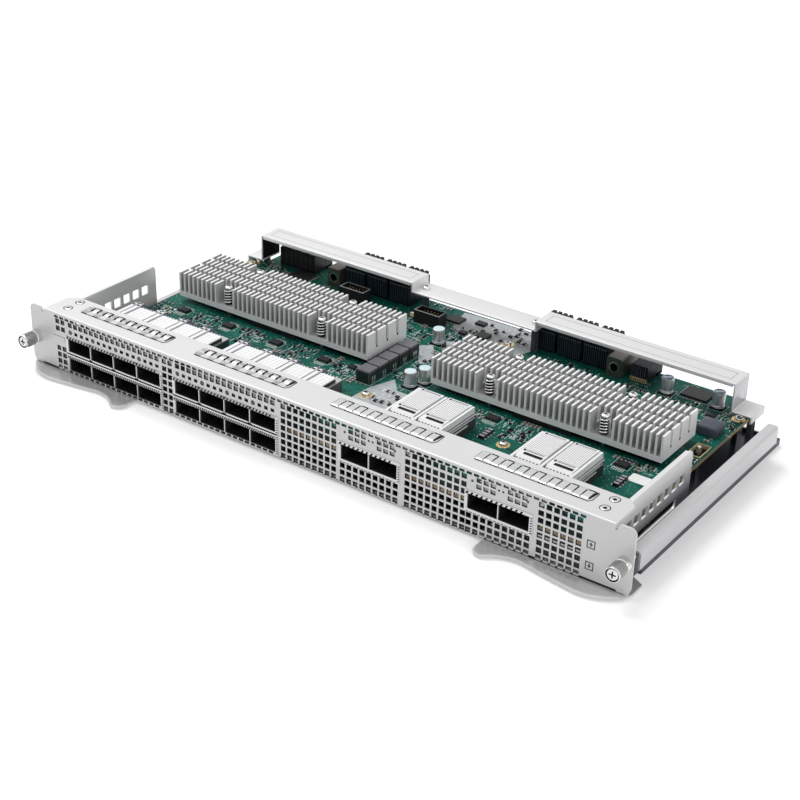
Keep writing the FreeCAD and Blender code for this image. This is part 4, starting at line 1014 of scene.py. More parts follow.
@dataclass
class RearBeam:
    """The folded strap over the connectors, with rounded edges, lips and an embossed line."""

    front: float = 172
    back: float = 190.5
    top: float = 40.6
    low: float = 34.6
    left: float = -170.5
    right: float = 180.6
    low_left: float = -44.5
    low_right: float = 46.8
    foot: float = 23.2
    toe: float = 18.2
    reach: float = 12
    sheet: float = 1.2

    def steps(self, inset: float) -> list[Spot]:
        """The strap's outline from foot to foot.

        Args:
            inset: How far inside its outer face the outline runs.

        Returns:
            X and Z of each corner.
        """
        ends = (self.left - self.reach, self.left, self.low_left, self.low_right, self.right, self.right + self.reach)
        xs = [x + sign * inset for x, sign in zip(ends, (1, 1, -1, 1, -1, -1))]
        levels = [z - inset for z in (self.foot, self.top, self.low, self.top, self.foot)]
        levels = [self.toe, *levels, self.toe]
        return [(x, z) for k, x in enumerate(xs) for z in levels[k:k + 2]]

    def build(self) -> None:
        """Makes the strap, its lips, linings of painted shade on its legs and its embossed lines, drawn as lines of
        painted shade.
        """
        t = self.sheet
        strap = Stock()
        strap.prism(self.steps(0.0) + self.steps(t)[::-1], Axis.Y, self.front, self.back)
        strap.make("beam_strap", [BEAM_STEEL], ("rear_beam",), edge=0.5, segments=3)
        trim = Stock()
        for start, end in ((self.left, self.low_left), (self.low_right, self.right)):
            for y in (self.front + 0.02, self.back - t - 0.02):
                trim.block((start + 2, end - 2), (y, y + t), (self.top - 2.4, self.top - 0.5))
        inner = self.left + t
        # Painted shade: a black lining on the left leg's inside and a grey one on the right leg's outside.
        shade_lining = (self.front + 0.4, self.back - 0.4)
        trim.block((inner, inner + 0.05), shade_lining, (self.foot + 0.2, self.top - t - 0.3), 1)
        trim.block((self.right, self.right + 0.05), shade_lining, (self.foot + 0.1, self.top - 0.6), 2)
        trim.make("beam_lips", [BEAM_STEEL, SHADOW_BLACK, CAGE_METAL], edge=0.02, segments=2)
        # Painted shade: dark lines that stand for the shade along the embossed ridges.
        lines = Stock()
        for start, end in ((self.left + 5, self.low_left - 5), (self.low_right + 5, self.right - 5)):
            z = (self.top - 0.02, self.top + 0.05)
            for y in (self.front + 4.5, self.back - 4.9):
                lines.block((start, end), (y, y + 0.3), z)
            for x in (start, end - 0.3):
                lines.block((x, x + 0.3), (self.front + 4.5, self.back - 4.6), z)
        lines.make("beam_emboss", [BEAM_DARK])


# ---------- fasteners ----------


@dataclass
class PanScrews:
    """Round pan-head screws with cross recesses, in place of the faceted CAD ones."""

    name: str
    node: str
    places: list[Spot]
    seat: float
    radius: float = 2.5
    height: float = 1.9
    shank: float = 1.2
    depth: float = 2
    ring: bool = False

    def build(self) -> None:
        """Makes the screws."""
        stock = Stock()
        for x, y in self.places:
            r, h = self.radius, self.height
            rings = [(self.shank, -self.depth), (self.shank, 0.0), (r, 0.0), (r, 0.45 * h)]
            rings += [(0.94 * r, 0.72 * h), (0.78 * r, 0.92 * h), (0.55 * r, h), (TIP, h)]
            stock.turned(rings, (x, y, self.seat), Axis.Z, 26)
            arm, half, top = 0.52 * r, 0.13 * r, self.seat + h
            stock.block(about(x, arm), about(y, half), (top - 0.5, top + 0.03), 1)
            stock.block(about(x, half), about(y, arm), (top - 0.5, top + 0.03), 1)
            if self.ring:
                stock.turned(hoop(r + 1.5, r - 0.2, -0.01, 0.05), (x, y, self.seat), Axis.Z, 26, 2)
        stock.make(self.name, [NICKEL, SHADOW_BLACK, GOLD], (self.node,))


# ---------- ports ----------


@dataclass
class PortGroup:
    """A group of optical ports with its gasket, the gasket's spring marks and a liner of painted shade in the port
    insides.
    """

    number: int
    centre: float
    ports: int
    stacked: bool
    pitch: float = PORT_PITCH
    width: float = 18.4
    mark: Spot = (-0.5, -0.41)
    inside: Spot = (0.5, 45)
    inner_wall: float = 0.08

    def rows(self) -> list[Spot]:
        """Sill and height of each row of ports."""
        return [(4.4, 8.2), (17.3, 8.2)] if self.stacked else [(17, 8.7)]

    def middles(self) -> list[float]:
        """X of each port's middle."""
        return [self.centre + (i - (self.ports - 1) / 2) * self.pitch for i in range(self.ports)]

    def hatch(self, stock: Stock, x: Spot, z: Spot, step: float, share: float) -> None:
        """Adds a row of slanted spring marks.

        Args:
            stock: Where they are added.
            x: The row's ends.
            z: Its height.
            step: Spacing of the marks.
            share: The share of the spacing that a mark takes.
        """
        lean = 0.55 * (z[1] - z[0])
        count = int((x[1] - x[0] - lean) / step)
        for i in range(count):
            a = x[0] + i * step
            b = a + share * step
            stock.prism([(a, z[0]), (b, z[0]), (b + lean, z[1]), (a + lean, z[1])], Axis.Y, *self.mark, 1)

    def gasket(self) -> None:
        """Makes the conductive frame round the openings."""
        (left, _, foot), (right, _, crest) = node_box("port_gasket_%d" % self.number)
        holes = []
        for sill, height in self.rows():
            for x in self.middles():
                holes.append((x - self.width / 2, x + self.width / 2, sill, sill + height))
        stock = Stock()
        stock.perforated((left, right), (foot, crest), (-0.42, 0), holes)
        for sill, height in self.rows():
            top = sill + height
            ends = (left + 0.6, right - 1.6)
            if self.stacked:
                # Painted shade: a darker band under the spring marks.
                stock.block(ends, (-0.46, -0.4), (top + 0.25, top + 1.85), 3)
                self.hatch(stock, ends, (top + 0.3, top + 1.85), 2.4 if sill > 10 else 1.55, 0.44)
            else:
                self.hatch(stock, ends, (top + 0.3, top + 1.6), 3, 0.42)
            stock.block((left + 0.4, right - 1.6), self.mark, (top + 0.02, top + 0.2), 1)
            for x in self.middles():
                stock.block(about(x, 8.9), (-0.48, -0.3), (sill - 0.36, sill - 0.06), 2)
        if self.stacked:
            stock.block((left + 0.4, right - 0.9), self.mark, (15.4, 16.3), 1)
            stock.block((left + 0.2, right - 0.2), (-0.5, -0.36), (14.85, 15.3), 2)
            for port in range(1, 4):
                x = self.centre + (port - 2) * self.pitch
                notch = [(x - 1.9, 16.2), (x + 1.9, 16.2), (x + 1, 17), (x - 1, 17)]
                stock.prism(notch, Axis.Y, *self.mark, 1)
                peak = crest - 0.05
                bump = [(x - 1.6, peak - 0.6), (x + 2.2, peak - 0.6), (x + 1.4, peak), (x - 0.8, peak)]
                stock.prism(bump, Axis.Y, *self.mark, 1)
            count = int((right - left - 2) / GRILLE_PITCH)
            stock.row(left + 1.3, GRILLE_PITCH, count, 3.2, self.mark, (foot + 0.4, foot + 1.85), 1)
        else:
            count = int((right - left - 2) / 2.4)
            stock.row(left + 1.2, 2.4, count, 1.7, self.mark, (foot + 0.2, foot + 0.55), 1)
        for k in range(int((crest - foot - 2) / 1.5)):
            z = foot + 1 + 1.5 * k
            near, far = right - 1.25, right - 0.2
            slant = [(near, z), (far, z + 0.35), (far, z + 1), (near, z + 0.6)]
            stock.prism(slant, Axis.Y, *self.mark, 1)
        stock.make(
            "port_frame_%d" % self.number, [GASKET_METAL, SHADOW_BLACK, NICKEL, GASKET_SHADE],
            ("port_gasket_%d" % self.number,), closed=False,
        )

    def insides(self) -> None:
        """Makes painted shade inside each port: a near-black liner, with its floor springs and a latch."""
        stock = Stock()
        for sill, height in self.rows():
            for x in self.middles():
                left, right = x - self.width / 2 + 0.02, x + self.width / 2 - 0.02
                low, high = sill + 0.02, sill + height - 0.02
                wall = self.inner_wall
                for side in ((left, left + wall), (right - wall, right)):
                    stock.block(side, self.inside, (low, high), 1)
                for deck in ((low, low + wall), (high - wall, high)):
                    stock.block((left, right), self.inside, deck, 1)
                stock.block((left, right), (30, 30.4), (low, high), 1)
                for dx in (-5.2, -1, 3.4):
                    stock.block((x + dx, x + dx + 1.3), (6, 9.5), (low + 0.08, low + 0.14))
                stock.block((left + 0.08, left + 0.2), (3, 6.5), (sill + 3, sill + 3.5))
        stock.make("port_insides_%d" % self.number, [CAGE_WALL, CAGE_DARK])

    def build(self) -> None:
        """Makes the group's gasket and port insides and dresses its cages and connectors."""
        self.gasket()
        self.insides()
        if self.stacked:
            for row in ("upper", "lower"):
                dress(CAGE_METAL, "%s_cage_%d" % (row, self.number))
                dress(PLUG_BLACK, "%s_port_connectors_%d" % (row, self.number))
        else:
            dress(CAGE_METAL, "cage_%d" % self.number)
            dress(PLUG_BLACK, "port_connectors_%d" % self.number)


@dataclass
class LightPipes:
    """Frosted pipes over a stacked group: flat runs, raised pairs with painted shade on their sides, and rear ends in
    a blue-grey painted shade.
    """

    number: int
    centre: float
    bottom: float = 28.1
    flat: float = 28.95
    top: float = 29.88
    front: float = 1.6
    rear: float = 55
    back: float = 62.2

    def port(self, stock: Stock, x: float, edges: Spot) -> None:
        """Adds the pipes over one port.

        Args:
            stock: Where they are added.
            x: The port's middle.
            edges: The group's left and right edge, which the pipes keep within.
        """
        left, right = max(x - 9.4, edges[0]), min(x + 9.4, edges[1])
        stock.block((left, right), (self.front, self.rear), (self.bottom, self.flat))
        for start in (x - 8.2, x - 4.6):
            foot = self.flat - 0.1
            stock.block((start, start + 2.3), (self.front, self.rear + 2), (foot, self.top))
            # Painted shade on the side of each raised pipe.
            stock.block((start + 2.3, start + 2.75), (24, self.rear + 1.6), (foot, self.top - 0.35), 2)
            # The bent rear end takes a blue-grey painted shade.
            tip = [
                (self.rear + 2, self.flat), (self.rear + 2, self.top), (self.rear + 5, self.top - 0.7),
                (self.back, self.top - 3.4), (self.back, 16.1), (self.back - 1.6, 16.1),
                (self.back - 1.6, self.top - 4.4), (self.rear + 3.6, self.flat - 1),
            ]
            stock.prism(tip, Axis.X, start + 0.1, start + 2.2, 3)
            collar = about(self.rear, 1)
            stock.block((start + 0.2, start + 2.1), collar, (self.top - 0.1, self.top + 0.01), 1)
        film = (self.flat - 0.05, self.flat + 0.02)
        for k, start in enumerate((x - 1.2, x + 2.2, x + 5.6)):
            lean = 2.6 - 0.5 * k
            line = [
                (start, 22), (start + 0.28, 22), (start + 0.28 + 0.4 * lean, 36),
                (start + 0.28 + lean, self.rear - 1.5), (start + lean, self.rear - 1.5), (start + 0.4 * lean, 36),
            ]
            stock.prism(line, Axis.Z, *film, 2)
        stock.block((x - 2.4, min(x + 9.2, right)), (30, 30.35), film, 2)
        for k in range(5):
            dash = x - 1.6 + 2.15 * k
            if dash + 1.2 < right:
                stock.block((dash, dash + 1.2), (self.rear, self.rear + 0.8), (self.bottom + 0.1, self.flat), 1)
                stock.block((dash + 1.25, dash + 2.1), (self.rear, self.rear + 1.4), (self.bottom, self.flat - 0.2))
        stock.block((x - 2.3, x + 3.6), (26.2, 27.3), (self.flat - 0.05, self.flat + 0.06), 1)
        stock.block((x + 4.9, x + 5.7), (31.5, 33.3), (self.flat - 0.05, self.flat + 0.06), 2)

    def build(self) -> None:
        """Makes the pipes of one group."""
        low, high = node_box("light_pipes_%d" % self.number)
        edges = (low[0] + 0.02, high[0] - 0.02)
        stock = Stock()
        for port in range(4):
            self.port(stock, self.centre + (port - 1.5) * PORT_PITCH, edges)
        stock.block((edges[0], edges[1]), (1.52, 1.7), (self.bottom, self.top), 1)
        for y in (20, 50):
            stock.block((edges[0] + 0.6, edges[1] - 0.6), (y, y + 4), (26.2, self.bottom), 1)
        for x in (edges[0], edges[1] - 0.7):
            stock.block((x, x + 0.7), (12, self.rear), (26.25, self.bottom + 0.1), 1)
        stock.make(
            "pipe_row_%d" % self.number, [CLEAR, PLUG_BLACK, PIPE_GREY, PIPE_REAR],
            ("light_pipes_%d" % self.number,), edge=0.1,
        )
        # Painted shade: a dark sheet on the cage's side wall.
        walls = Stock()
        right = node_box("upper_cage_%d" % self.number)[1][0]
        walls.block((right + 0.01, right + 0.1), (1.4, 59.8), (16.2, 26))
        walls.block((right + 0.01, right + 0.25), (1.4, 59.8), (25.6, 26.15), 1)
        walls.make("cage_flank_%d" % self.number, [CAGE_WALL, CAGE_METAL])


@dataclass
class CageRiders:
    """Flat lined caps on a single-row cage, with slots, spring rows and side lips."""

    number: int
    centre: float

    def cap(self, stock: Stock, x: float) -> None:
        """Adds the cap over one port.

        Args:
            stock: Where it is added.
            x: The port's middle.
        """
        a, b = x - 7.7, x + 7.7
        section = [(41.5, CAGE_TOP), (74, CAGE_TOP), (74, 30.2), (44.5, 30.2), (41.5, 27.85)]
        stock.prism(section, Axis.X, a, b)
        stock.row(a + 0.3, 1.27, 12, 0.8, (51, 71.6), (30.15, 30.4))
        stock.row(a + 1.15, 1.27, 12, 0.35, (51, 71.6), (30.15, 30.3), 3)
        stock.block((x - 4.6, x + 6.6), (45.6, 47.7), (30.1, 30.49), 1)
        for y in (49.3, 71.9):
            stock.block((x - 6.6, x - 5.3), (y, y + 1.1), (30.1, 30.49), 1)
            stock.row(x - 4.5, 1, 11, 0.5, (y, y + 1.2), (30.1, 30.42), 2)
        stock.row(a + 0.6, 2.1, 7, 1, (42.4, 43), (28.5, 29.05), 2)

    def trim(self) -> None:
        """Makes the cage's walls between and beside the caps, with painted shade in the gaps beside them and on the
        cage's side wall, its side lips and clear loop.
        """
        trim = Stock()
        left, right = self.centre - 19.4, self.centre + 19.4
        for x in (left + 0.25, self.centre - 0.75, right - 1.75):
            trim.block((x, x + 1.5), (40, 73.9), (CAGE_TOP, 29.9), 3)
        # Painted shade: black blocks in the gaps beside the walls.
        for x in (left + 1.85, self.centre - 1.75, self.centre + 0.8, right - 2.75):
            trim.block((x, x + 0.9), (41, 73.9), (CAGE_TOP, 28.8), 1)
        for port in range(2):
            x = self.centre + (port - 0.5) * PORT_PITCH
            for y in (6, 37.6):
                trim.row(x - 8, 1.8, 9, 0.9, (y, y + 0.6), (CAGE_TOP, 26.56), 1)
            for dx, y in ((-6.5, 9.5), (5.2, 9.5), (-6.5, 33), (5.2, 33)):
                trim.block((x + dx, x + dx + 1.4), (y, y + 1.4), (CAGE_TOP, 26.56), 1)
            for dx in (-7.6, 6.4):
                trim.block((x + dx, x + dx + 1.2), (12, 30), (CAGE_TOP, 26.9), 3)
            trim.block(about(x, 4), (15, 27), (CAGE_TOP, 26.7), 3)
        wall = right + 0.01
        # Painted shade: a dark sheet on the cage's side wall.
        trim.block((wall, wall + 0.08), (1.4, 74), (16.2, 26.4), 4)
        for z, back in ((25.6, 73.8), (23.9, 72.5), (21.6, 66)):
            lip = [(wall, z - 0.5), (wall + 0.75, z - 0.2), (wall + 0.75, z + 0.25), (wall, z + 0.25)]
            trim.prism(lip, Axis.Y, 38, back, 3)
        for y in (42, 47, 70):
            trim.block((wall + 0.05, wall + 0.5), (y, y + 1.2), (24.2, 25), 1)
        loop = []
        for step in range(19):
            turn = math.pi * step / 18
            loop.append((right - 2.2 + 2.4 * math.cos(turn), 74.6, 22.5 + 5.6 * math.sin(turn)))
        trim.tube([(right + 0.2, 74.6, 16.2)] + loop + [(right - 4.6, 74.6, 16.2)], 0.42, 8, 2)
        trim.make("cage_trim_%d" % self.number, [CAGE_METAL, SHADOW_BLACK, PIPE_REAR, CAP_METAL, CAGE_WALL])

    def build(self) -> None:
        """Makes the caps of one group and its trim."""
        stock = Stock()
        for port in range(2):
            self.cap(stock, self.centre + (port - 0.5) * PORT_PITCH)
        stock.make(
            "rider_caps_%d" % self.number, [CAP_METAL, SHADOW_BLACK, BEAM_DARK, CAGE_METAL],
            ("cage_riders_%d" % self.number,),
        )
        self.trim()


# ---------- heat sinks ----------


@dataclass
class HeatSink:
    """A cross-cut finned heat sink with screw pockets."""

    side: str
    centre: float
    front: float = 98.5
    depth: float = 40.5
    base: Spot = (20.1, 23.6)
    slit_floor: float = 26.6
    top: float = 36.6
    fins: int = 41
    pitch: float = 3.78
    thickness: float = 1.35
    slit: float = 2.5
    pocket: Spot = (9.7, 9.9)

    def in_pocket(self, start: float) -> bool:
        """Whether a fin stands in the way of a screw."""
        half = self.pocket[0] / 2
        return any(
            start < self.centre + p + half and start + self.thickness > self.centre + p - half
            for p in SINK_SCREWS_X
        )

    def fin(self, stock: Stock, x: Spot, y: Spot, z: Spot) -> None:
        """Adds a length of a fin, with painted shade on the sides that face another fin.

        Args:
            stock: Where it is added.
            x: Its two sides.
            y: Its front and back.
            z: Its foot and top.
        """
        reach = ((self.fins - 1) * self.pitch + self.thickness) / 2 - 0.1
        stock.block(x, y, z)
        if x[0] > self.centre - reach:
            stock.tints[Stock.LOW_X] = 2
        if x[1] < self.centre + reach:
            stock.tints[Stock.HIGH_X] = 2

    def build(self) -> None:
        """Makes the base and its fins."""
        length = (self.fins - 1) * self.pitch + self.thickness
        left = self.centre - length / 2
        back = self.front + self.depth
        stock = Stock()
        stock.block((left, left + length), (self.front, back), self.base)
        # Painted shade on the base's top between the fins.
        stock.tints[Stock.TOP] = 2
        tooth = (self.depth - 3 * self.slit) / 4
        for i in range(self.fins):
            x = (left + i * self.pitch, left + i * self.pitch + self.thickness)
            cut = self.in_pocket(x[0])
            near = self.front + (self.pocket[1] if cut else 0)
            far = back - (self.pocket[1] if cut else 0)
            self.fin(stock, x, (near, far), (self.base[1] - 0.05, self.slit_floor))
            for k in range(4):
                if cut and k in (0, 3):
                    continue
                y = self.front + k * (tooth + self.slit)
                y0, y1 = max(y, near), min(y + tooth, far)
                self.fin(stock, x, (y0, y1), (self.slit_floor - 0.05, self.top))
        # Painted shade: dark discs on the end faces that stand for the round bottoms of the slits.
        for k in range(3):
            y = self.front + (k + 1) * tooth + (k + 0.5) * self.slit
            for x in (left - 0.02, left + length + 0.02):
                centre = (x, y, self.slit_floor)
                stock.turned([(0.95, -0.03), (0.95, 0.03), (TIP, 0.03)], centre, Axis.X, 16, 1)
        finishes = [SINK_METAL, SHADOW_BLACK, SINK_SHADE]
        stock.make("cut_sink_" + self.side, finishes, ("heat_sink_" + self.side,), edge=0.14)


@dataclass
class SinkSprings:
    """Wound springs under the heat sinks' screws, with cores of painted shade, and the dark sheet under the sinks."""

    places: list[Spot]
    bottom: float = 23.6
    top: float = 34
    radius: float = 2.9
    wire: float = 0.56
    turns: float = 5
    steps: int = 18

    def build(self) -> None:
        """Makes the springs with dark cores of painted shade inside the coils, and the underlay."""
        stock = Stock()
        steps = int(self.turns * self.steps)
        rise = self.top - self.bottom - 2 * self.wire
        for x, y in self.places:
            path = []
            for k in range(steps + 1):
                turn = 2 * math.pi * self.turns * k / steps
                z = self.bottom + self.wire + rise * k / steps
                path.append((x + self.radius * math.cos(turn), y + self.radius * math.sin(turn), z))
            stock.tube(path, self.wire, 8)
            # Painted shade: a black tube inside the coils.
            shade_core = hoop(2.3, 1.45, self.bottom, self.top)
            stock.turned(shade_core, (x, y, 0.0), Axis.Z, 20, 1, hollow=True)
        stock.make("wound_springs", [WIRE, SHADOW_BLACK], ("heat_sink_springs",), closed=False)
        self.underlay()

    def underlay(self) -> None:
        """Makes the dark sheet on the board that stands for the shade under the sinks."""
        foil = Stock()
        for centre in SINKS.values():
            foil.block((centre - 69, centre + 73), (102.5, 136), (BOARD_TOP, 16.16))
        foil.make("sink_underlay", [SHADOW_BLACK])


# ---------- board ----------


@dataclass
class BoardParts:
    """Everything small on the board, and the board's own ink and pads."""

    top: float = BOARD_TOP
    seed: int = 11
    lead: float = 0.18
    reach: float = 183
    line: float = 0.18
    chips: tuple = (
        (155, 89.5, 8, 5, 1.8), (71, 90, 8, 5, 1.8), (-127, 88.5, 8, 5, 1.8), (-165, 88.5, 8, 5, 1.8),
        (-88.5, 88.5, 8, 5, 1.8), (-50.5, 88.5, 8, 5, 1.8), (-31, 91.5, 5, 4, 1.5),
        (15, 138, 9, 9, 1.4), (-140, 177.5, 15, 15, 1.6), (-20, 186.5, 11, 9, 1.4),
        (-3.5, 191.5, 7, 5, 1.5), (150.4, 190, 17, 13, 1.6), (132, 166, 7, 7, 1.8),
        (8, 176, 8, 8, 2.2), (-5, 172.5, 5, 4, 2), (168, 171.5, 6, 4, 1.5),
    )
    rows: tuple = ((78, 72), (163, 73))
    crowds: tuple = (
        (-176, 78, 5, 8), (-146, 83, 9, 12), (-108, 83, 9, 12), (-69.5, 83, 9, 12),
        (-34, 83, 8, 10), (90, 84, 12, 10), (62, 86, 5, 8), (172, 93, 10, 5),
        (8, 72, 14, 8), (2, 112, 9, 16), (4, 165, 18, 16), (18, 190, 16, 10),
        (-120, 160, 30, 16), (-60, 158, 20, 14), (150, 166, 14, 10), (178, 168, 7, 14),
        (-165, 165, 14, 16), (118, 166, 10, 8), (-30, 150, 10, 10), (72, 166, 20, 12),
    )
    # Outlines of the pale patches of painted glare.
    pale: tuple = (
        ((-17.8, 141.7), (-10.3, 147.7), (3.5, 127.9), (-2.9, 120.6)),
        ((-9, 58), (-8, 78), (-2, 95), (8, 84), (19, 84), (24, 70), (24, 58)),
        ((-7.6, 157.1), (-2, 161), (9, 151), (6.7, 149.2), (0, 146)),
        ((-16.3, 177.3), (-22, 200), (-12, 201), (30, 201), (44, 186), (38, 166), (14, 163)),
    )
    cans: tuple = ((-9.6, 151.9), (14.6, 102.3), (10.2, 93.4), (134.2, 181.6), (166.6, 184))
    keep_out: list = field(default_factory=list)

    def leads(self, stock: Stock, chip: tuple, tint: int) -> None:
        """Adds the leads of a flat chip on its two longer sides, or all four.

        Args:
            stock: Where they are added.
            chip: Middle, width, depth and height.
            tint: Their finish.
        """
        x, y, w, d, _ = chip
        z = (self.top, self.top + self.lead)
        square = abs(w - d) < 2.5
        if w >= d or square:
            for k in range(int(w - 1)):
                lead = about(x - (int(w - 1) - 1) / 2 + k, 0.2)
                stock.block(lead, (y - d / 2 - 0.9, y - d / 2 + 0.1), z, tint)
                stock.block(lead, (y + d / 2 - 0.1, y + d / 2 + 0.9), z, tint)
        if d > w or square:
            for k in range(int(d - 1)):
                lead = about(y - (int(d - 1) - 1) / 2 + k, 0.2)
                stock.block((x - w / 2 - 0.9, x - w / 2 + 0.1), lead, z, tint)
                stock.block((x + w / 2 - 0.1, x + w / 2 + 0.9), lead, z, tint)

    def make_chips(self) -> None:
        """Makes the flat chips with leads and a pin-one dot."""
        stock = Stock()
        trim = Stock()
        for chip in self.chips:
            x, y, w, d, h = chip
            stock.block(about(x, w / 2), about(y, d / 2), (self.top + 0.08, self.top + h))
            self.leads(trim, chip, 0)
            dot = (x - w / 2 + 1.1, y - d / 2 + 1.1, self.top + h)
            trim.turned([(0.4, -0.02), (0.4, 0.03), (TIP, 0.03)], dot, Axis.Z, 12, 1)
        stock.make("flat_chips", [BLACK_PLASTIC], ("board_chips",), edge=0.2)
        trim.make("chip_leads", [TIN, ETCH_AND_SHADOW])

    def make_cans(self) -> None:
        """Makes the electrolytic cans on their bases; those at the back have a blue top with a flash of painted
        highlight.
        """
        stock = Stock()
        for x, y in self.cans:
            z = self.top
            base = [(x - 4, y - 4), (x + 2.6, y - 4), (x + 4, y - 2.6), (x + 4, y + 2.6)]
            base += [(x + 2.6, y + 4), (x - 4, y + 4)]
            stock.prism(base, Axis.Z, z, z + 1.2, 1)
            stock.turned(hoop(3.95, 3.7, 1.2, 1.5), (x, y, z), Axis.Z, 36, 3, hollow=True)
            body = [(3.7, 1.2), (3.88, 1.7), (3.88, 2.2), (3.7, 2.45), (3.7, 2.7), (3.88, 2.95)]
            body += [(3.88, 9.7), (3.75, 10.2), (3.45, 10.45)]
            stock.turned(body, (x, y, z), Axis.Z, 36)
            stock.turned([(3.4, 10.4), (3.3, 10.5), (TIP, 10.5)], (x, y, z), Axis.Z, 36)
            rear = x > 100
            turns = [math.radians(a) for a in range(-180, 180, 12)]
            lid = [(x + 3.3 * math.cos(turn), y + 3.3 * math.sin(turn)) for turn in turns]
            stock.prism(lid, Axis.Z, z + 10.42, z + 10.53, 2 if rear else 4)
            if rear:
                # Painted highlight: a pale band across the blue top.
                flash = [(x - 3, y - 0.6), (x - 1.4, y - 2.6), (x + 2.6, y + 1), (x + 1.6, y + 2.2)]
                stock.prism(flash, Axis.Z, z + 10.42, z + 10.56, 4)
        finishes = [CAN_METAL, BLACK_PLASTIC, CAN_BLUE, INK, CAN_PALE]
        stock.make("electrolytic_cans", finishes, ("capacitors",))

    def make_inductors(self) -> None:
        """Makes the block inductors: brushed tops, dark sides and pale terminals."""
        stock = Stock()
        for i in range(5):
            x, y = -14.8, 84.4 + 10.6 * i
            z = self.top
            stock.block(about(x, 4.75), about(y, 4.75), (z + 0.3, z + 7.3), 1)
            stock.block(about(x, 4.7), about(y, 4.7), (z + 7.25, z + 8.2))
            for side in (-1, 1):
                clip = (x + side * 4.7, x + side * 4.95)
                stock.block(clip, (y - 1.6, y - 0.5), (z + 1.4, z + 4.2), 2)
                stock.block(clip, (y + 0.5, y + 1.6), (z + 1.4, z + 4.2), 2)
                stock.block(clip, about(y, 2.2), (z, z + 0.7), 2)
        stock.make("block_inductors", [FERRITE, FERRITE_SIDE, TIN], ("inductors",), edge=0.18)
        (x0, y0, z0), (x1, y1, z1) = node_box("large_inductor")
        choke = Stock()
        choke.block((x0, x1), (y0, y1), (z0 + 0.3, z1 - 0.6))
        choke.block((x0 + 0.5, x1 - 0.5), (y0 + 0.5, y1 - 0.5), (z1 - 0.8, z1))
        for clip in ((x0 + 0.2, x0 + 1.4), (x1 - 1.4, x1 - 0.2)):
            choke.block(clip, (y0 + 3, y1 - 3), (z0, z0 + 1), 1)
        choke.make("large_choke_block", [CHOKE, TIN], ("large_inductor",), edge=0.5, segments=2)

    def free(self, x: float, y: float, margin: float) -> bool:
        """Whether a small part fits at a place.

        Args:
            x: Its middle.
            y: Its middle.
            margin: Room that it needs.

        Returns:
            True where nothing else stands.
        """
        return not any(
            a - margin < x < b + margin and c - margin < y < d + margin for a, b, c, d in self.keep_out
        )

    def keep(self, x: float, y: float, half_x: float, half_y: float) -> None:
        """Keeps small parts out of a spot about a middle."""
        self.keep_out.append((*about(x, half_x), *about(y, half_y)))

    def stands(self) -> None:
        """Lists the places where larger parts stand."""
        for x, y, w, d, _ in self.chips:
            self.keep(x, y, w / 2 + 1, d / 2 + 1)
        for spots, half_x, half_y in (
            (self.cans, 4, 4), (self.rows, 2.6, 6.2), (Card.standoffs(), 3.6, 3.6), (Card.sink_screws(), 2.6, 2.6),
        ):
            for x, y in spots:
                self.keep(x, y, half_x, half_y)
        for name in (
            "switch_chip_left", "switch_chip_right", "large_inductor", "upper_cage_1", "upper_cage_2",
            "cage_3", "cage_4", "power_connector", "signal_connector", "light_pipes_1", "light_pipes_2",
        ):
            low, high = node_box(name)
            self.keep_out.append((low[0], high[0], low[1], high[1]))
        self.keep_out += [
            (-19.6, -10, 79.6, 131.6), (-99.7, -80.1, 167, 176.2), (-40.3, -20.7, 168, 177.2),
            (-119.5, -55.2, 180, 202), (38.5, 104, 180, 202), (164, 176, 77.5, 86.5),
            (175, 186.5, 122, 140),
        ]

    def make_passives(self) -> None:
        """Makes the many chip resistors, capacitors and small packages, in loose rows."""
        rng = random.Random(self.seed)
        stock = Stock()
        zones = [
            (-184, 184, 76, 97.5, 46), (-27, 22, 62, 180, 26), (-184, 184, 140, 171, 60),
            (-176, -26, 171, 200, 20), (22, 184, 171, 200, 20), (172, 186, 66, 182, 16),
            (-186, -177, 66, 178, 10), (28, 70, 76, 96, 6), (-100, 160, 141, 160, 20),
        ]
        for x0, x1, y0, y1, rows in zones:
            for _ in range(rows):
                x, y = rng.uniform(x0, x1), rng.uniform(y0, y1)
                turned = rng.random() < 0.5
                count, kind = rng.randint(2, 7), rng.random()
                w, d, h = (1.6, 0.8, 0.6) if kind < 0.75 else (3, 1.6, 1.1)
                tint = 1 if rng.random() < 0.55 else 2
                for k in range(count):
                    px = x + (k * (d + 0.9) if turned else 0)
                    py = y + (0 if turned else k * (d + 0.9))
                    if not (x0 < px < x1 and y0 < py < y1 and self.free(px, py, 1.2)):
                        continue
                    self.passive(stock, px, py, (w, d, h), turned, tint)
                    self.keep_out.append((*about(px, 1), *about(py, 0.8)))
        stock.make("small_passives", [TIN, BLACK_PLASTIC, CERAMIC])

    def passive(self, stock: Stock, x: float, y: float, size: Point, turned: bool, tint: int) -> None:
        """Adds one chip resistor or capacitor.

        Args:
            stock: Where it is added.
            x: Its middle.
            y: Its middle.
            size: Its length, width and height.
            turned: Whether it lies along Y.
            tint: The finish of its body.
        """
        w, d, h = size
        cap = 0.175 * w
        middle, across = (y, about(x, d / 2)) if turned else (x, about(y, d / 2))
        low, high = about(middle, w / 2)
        for along, top, look in (
            ((low + cap, high - cap), h, tint), ((low, low + cap), h + 0.02, 0), ((high - cap, high), h + 0.02, 0),
        ):
            x_span, y_span = (across, along) if turned else (along, across)
            stock.block(x_span, y_span, (self.top, self.top + top), look)

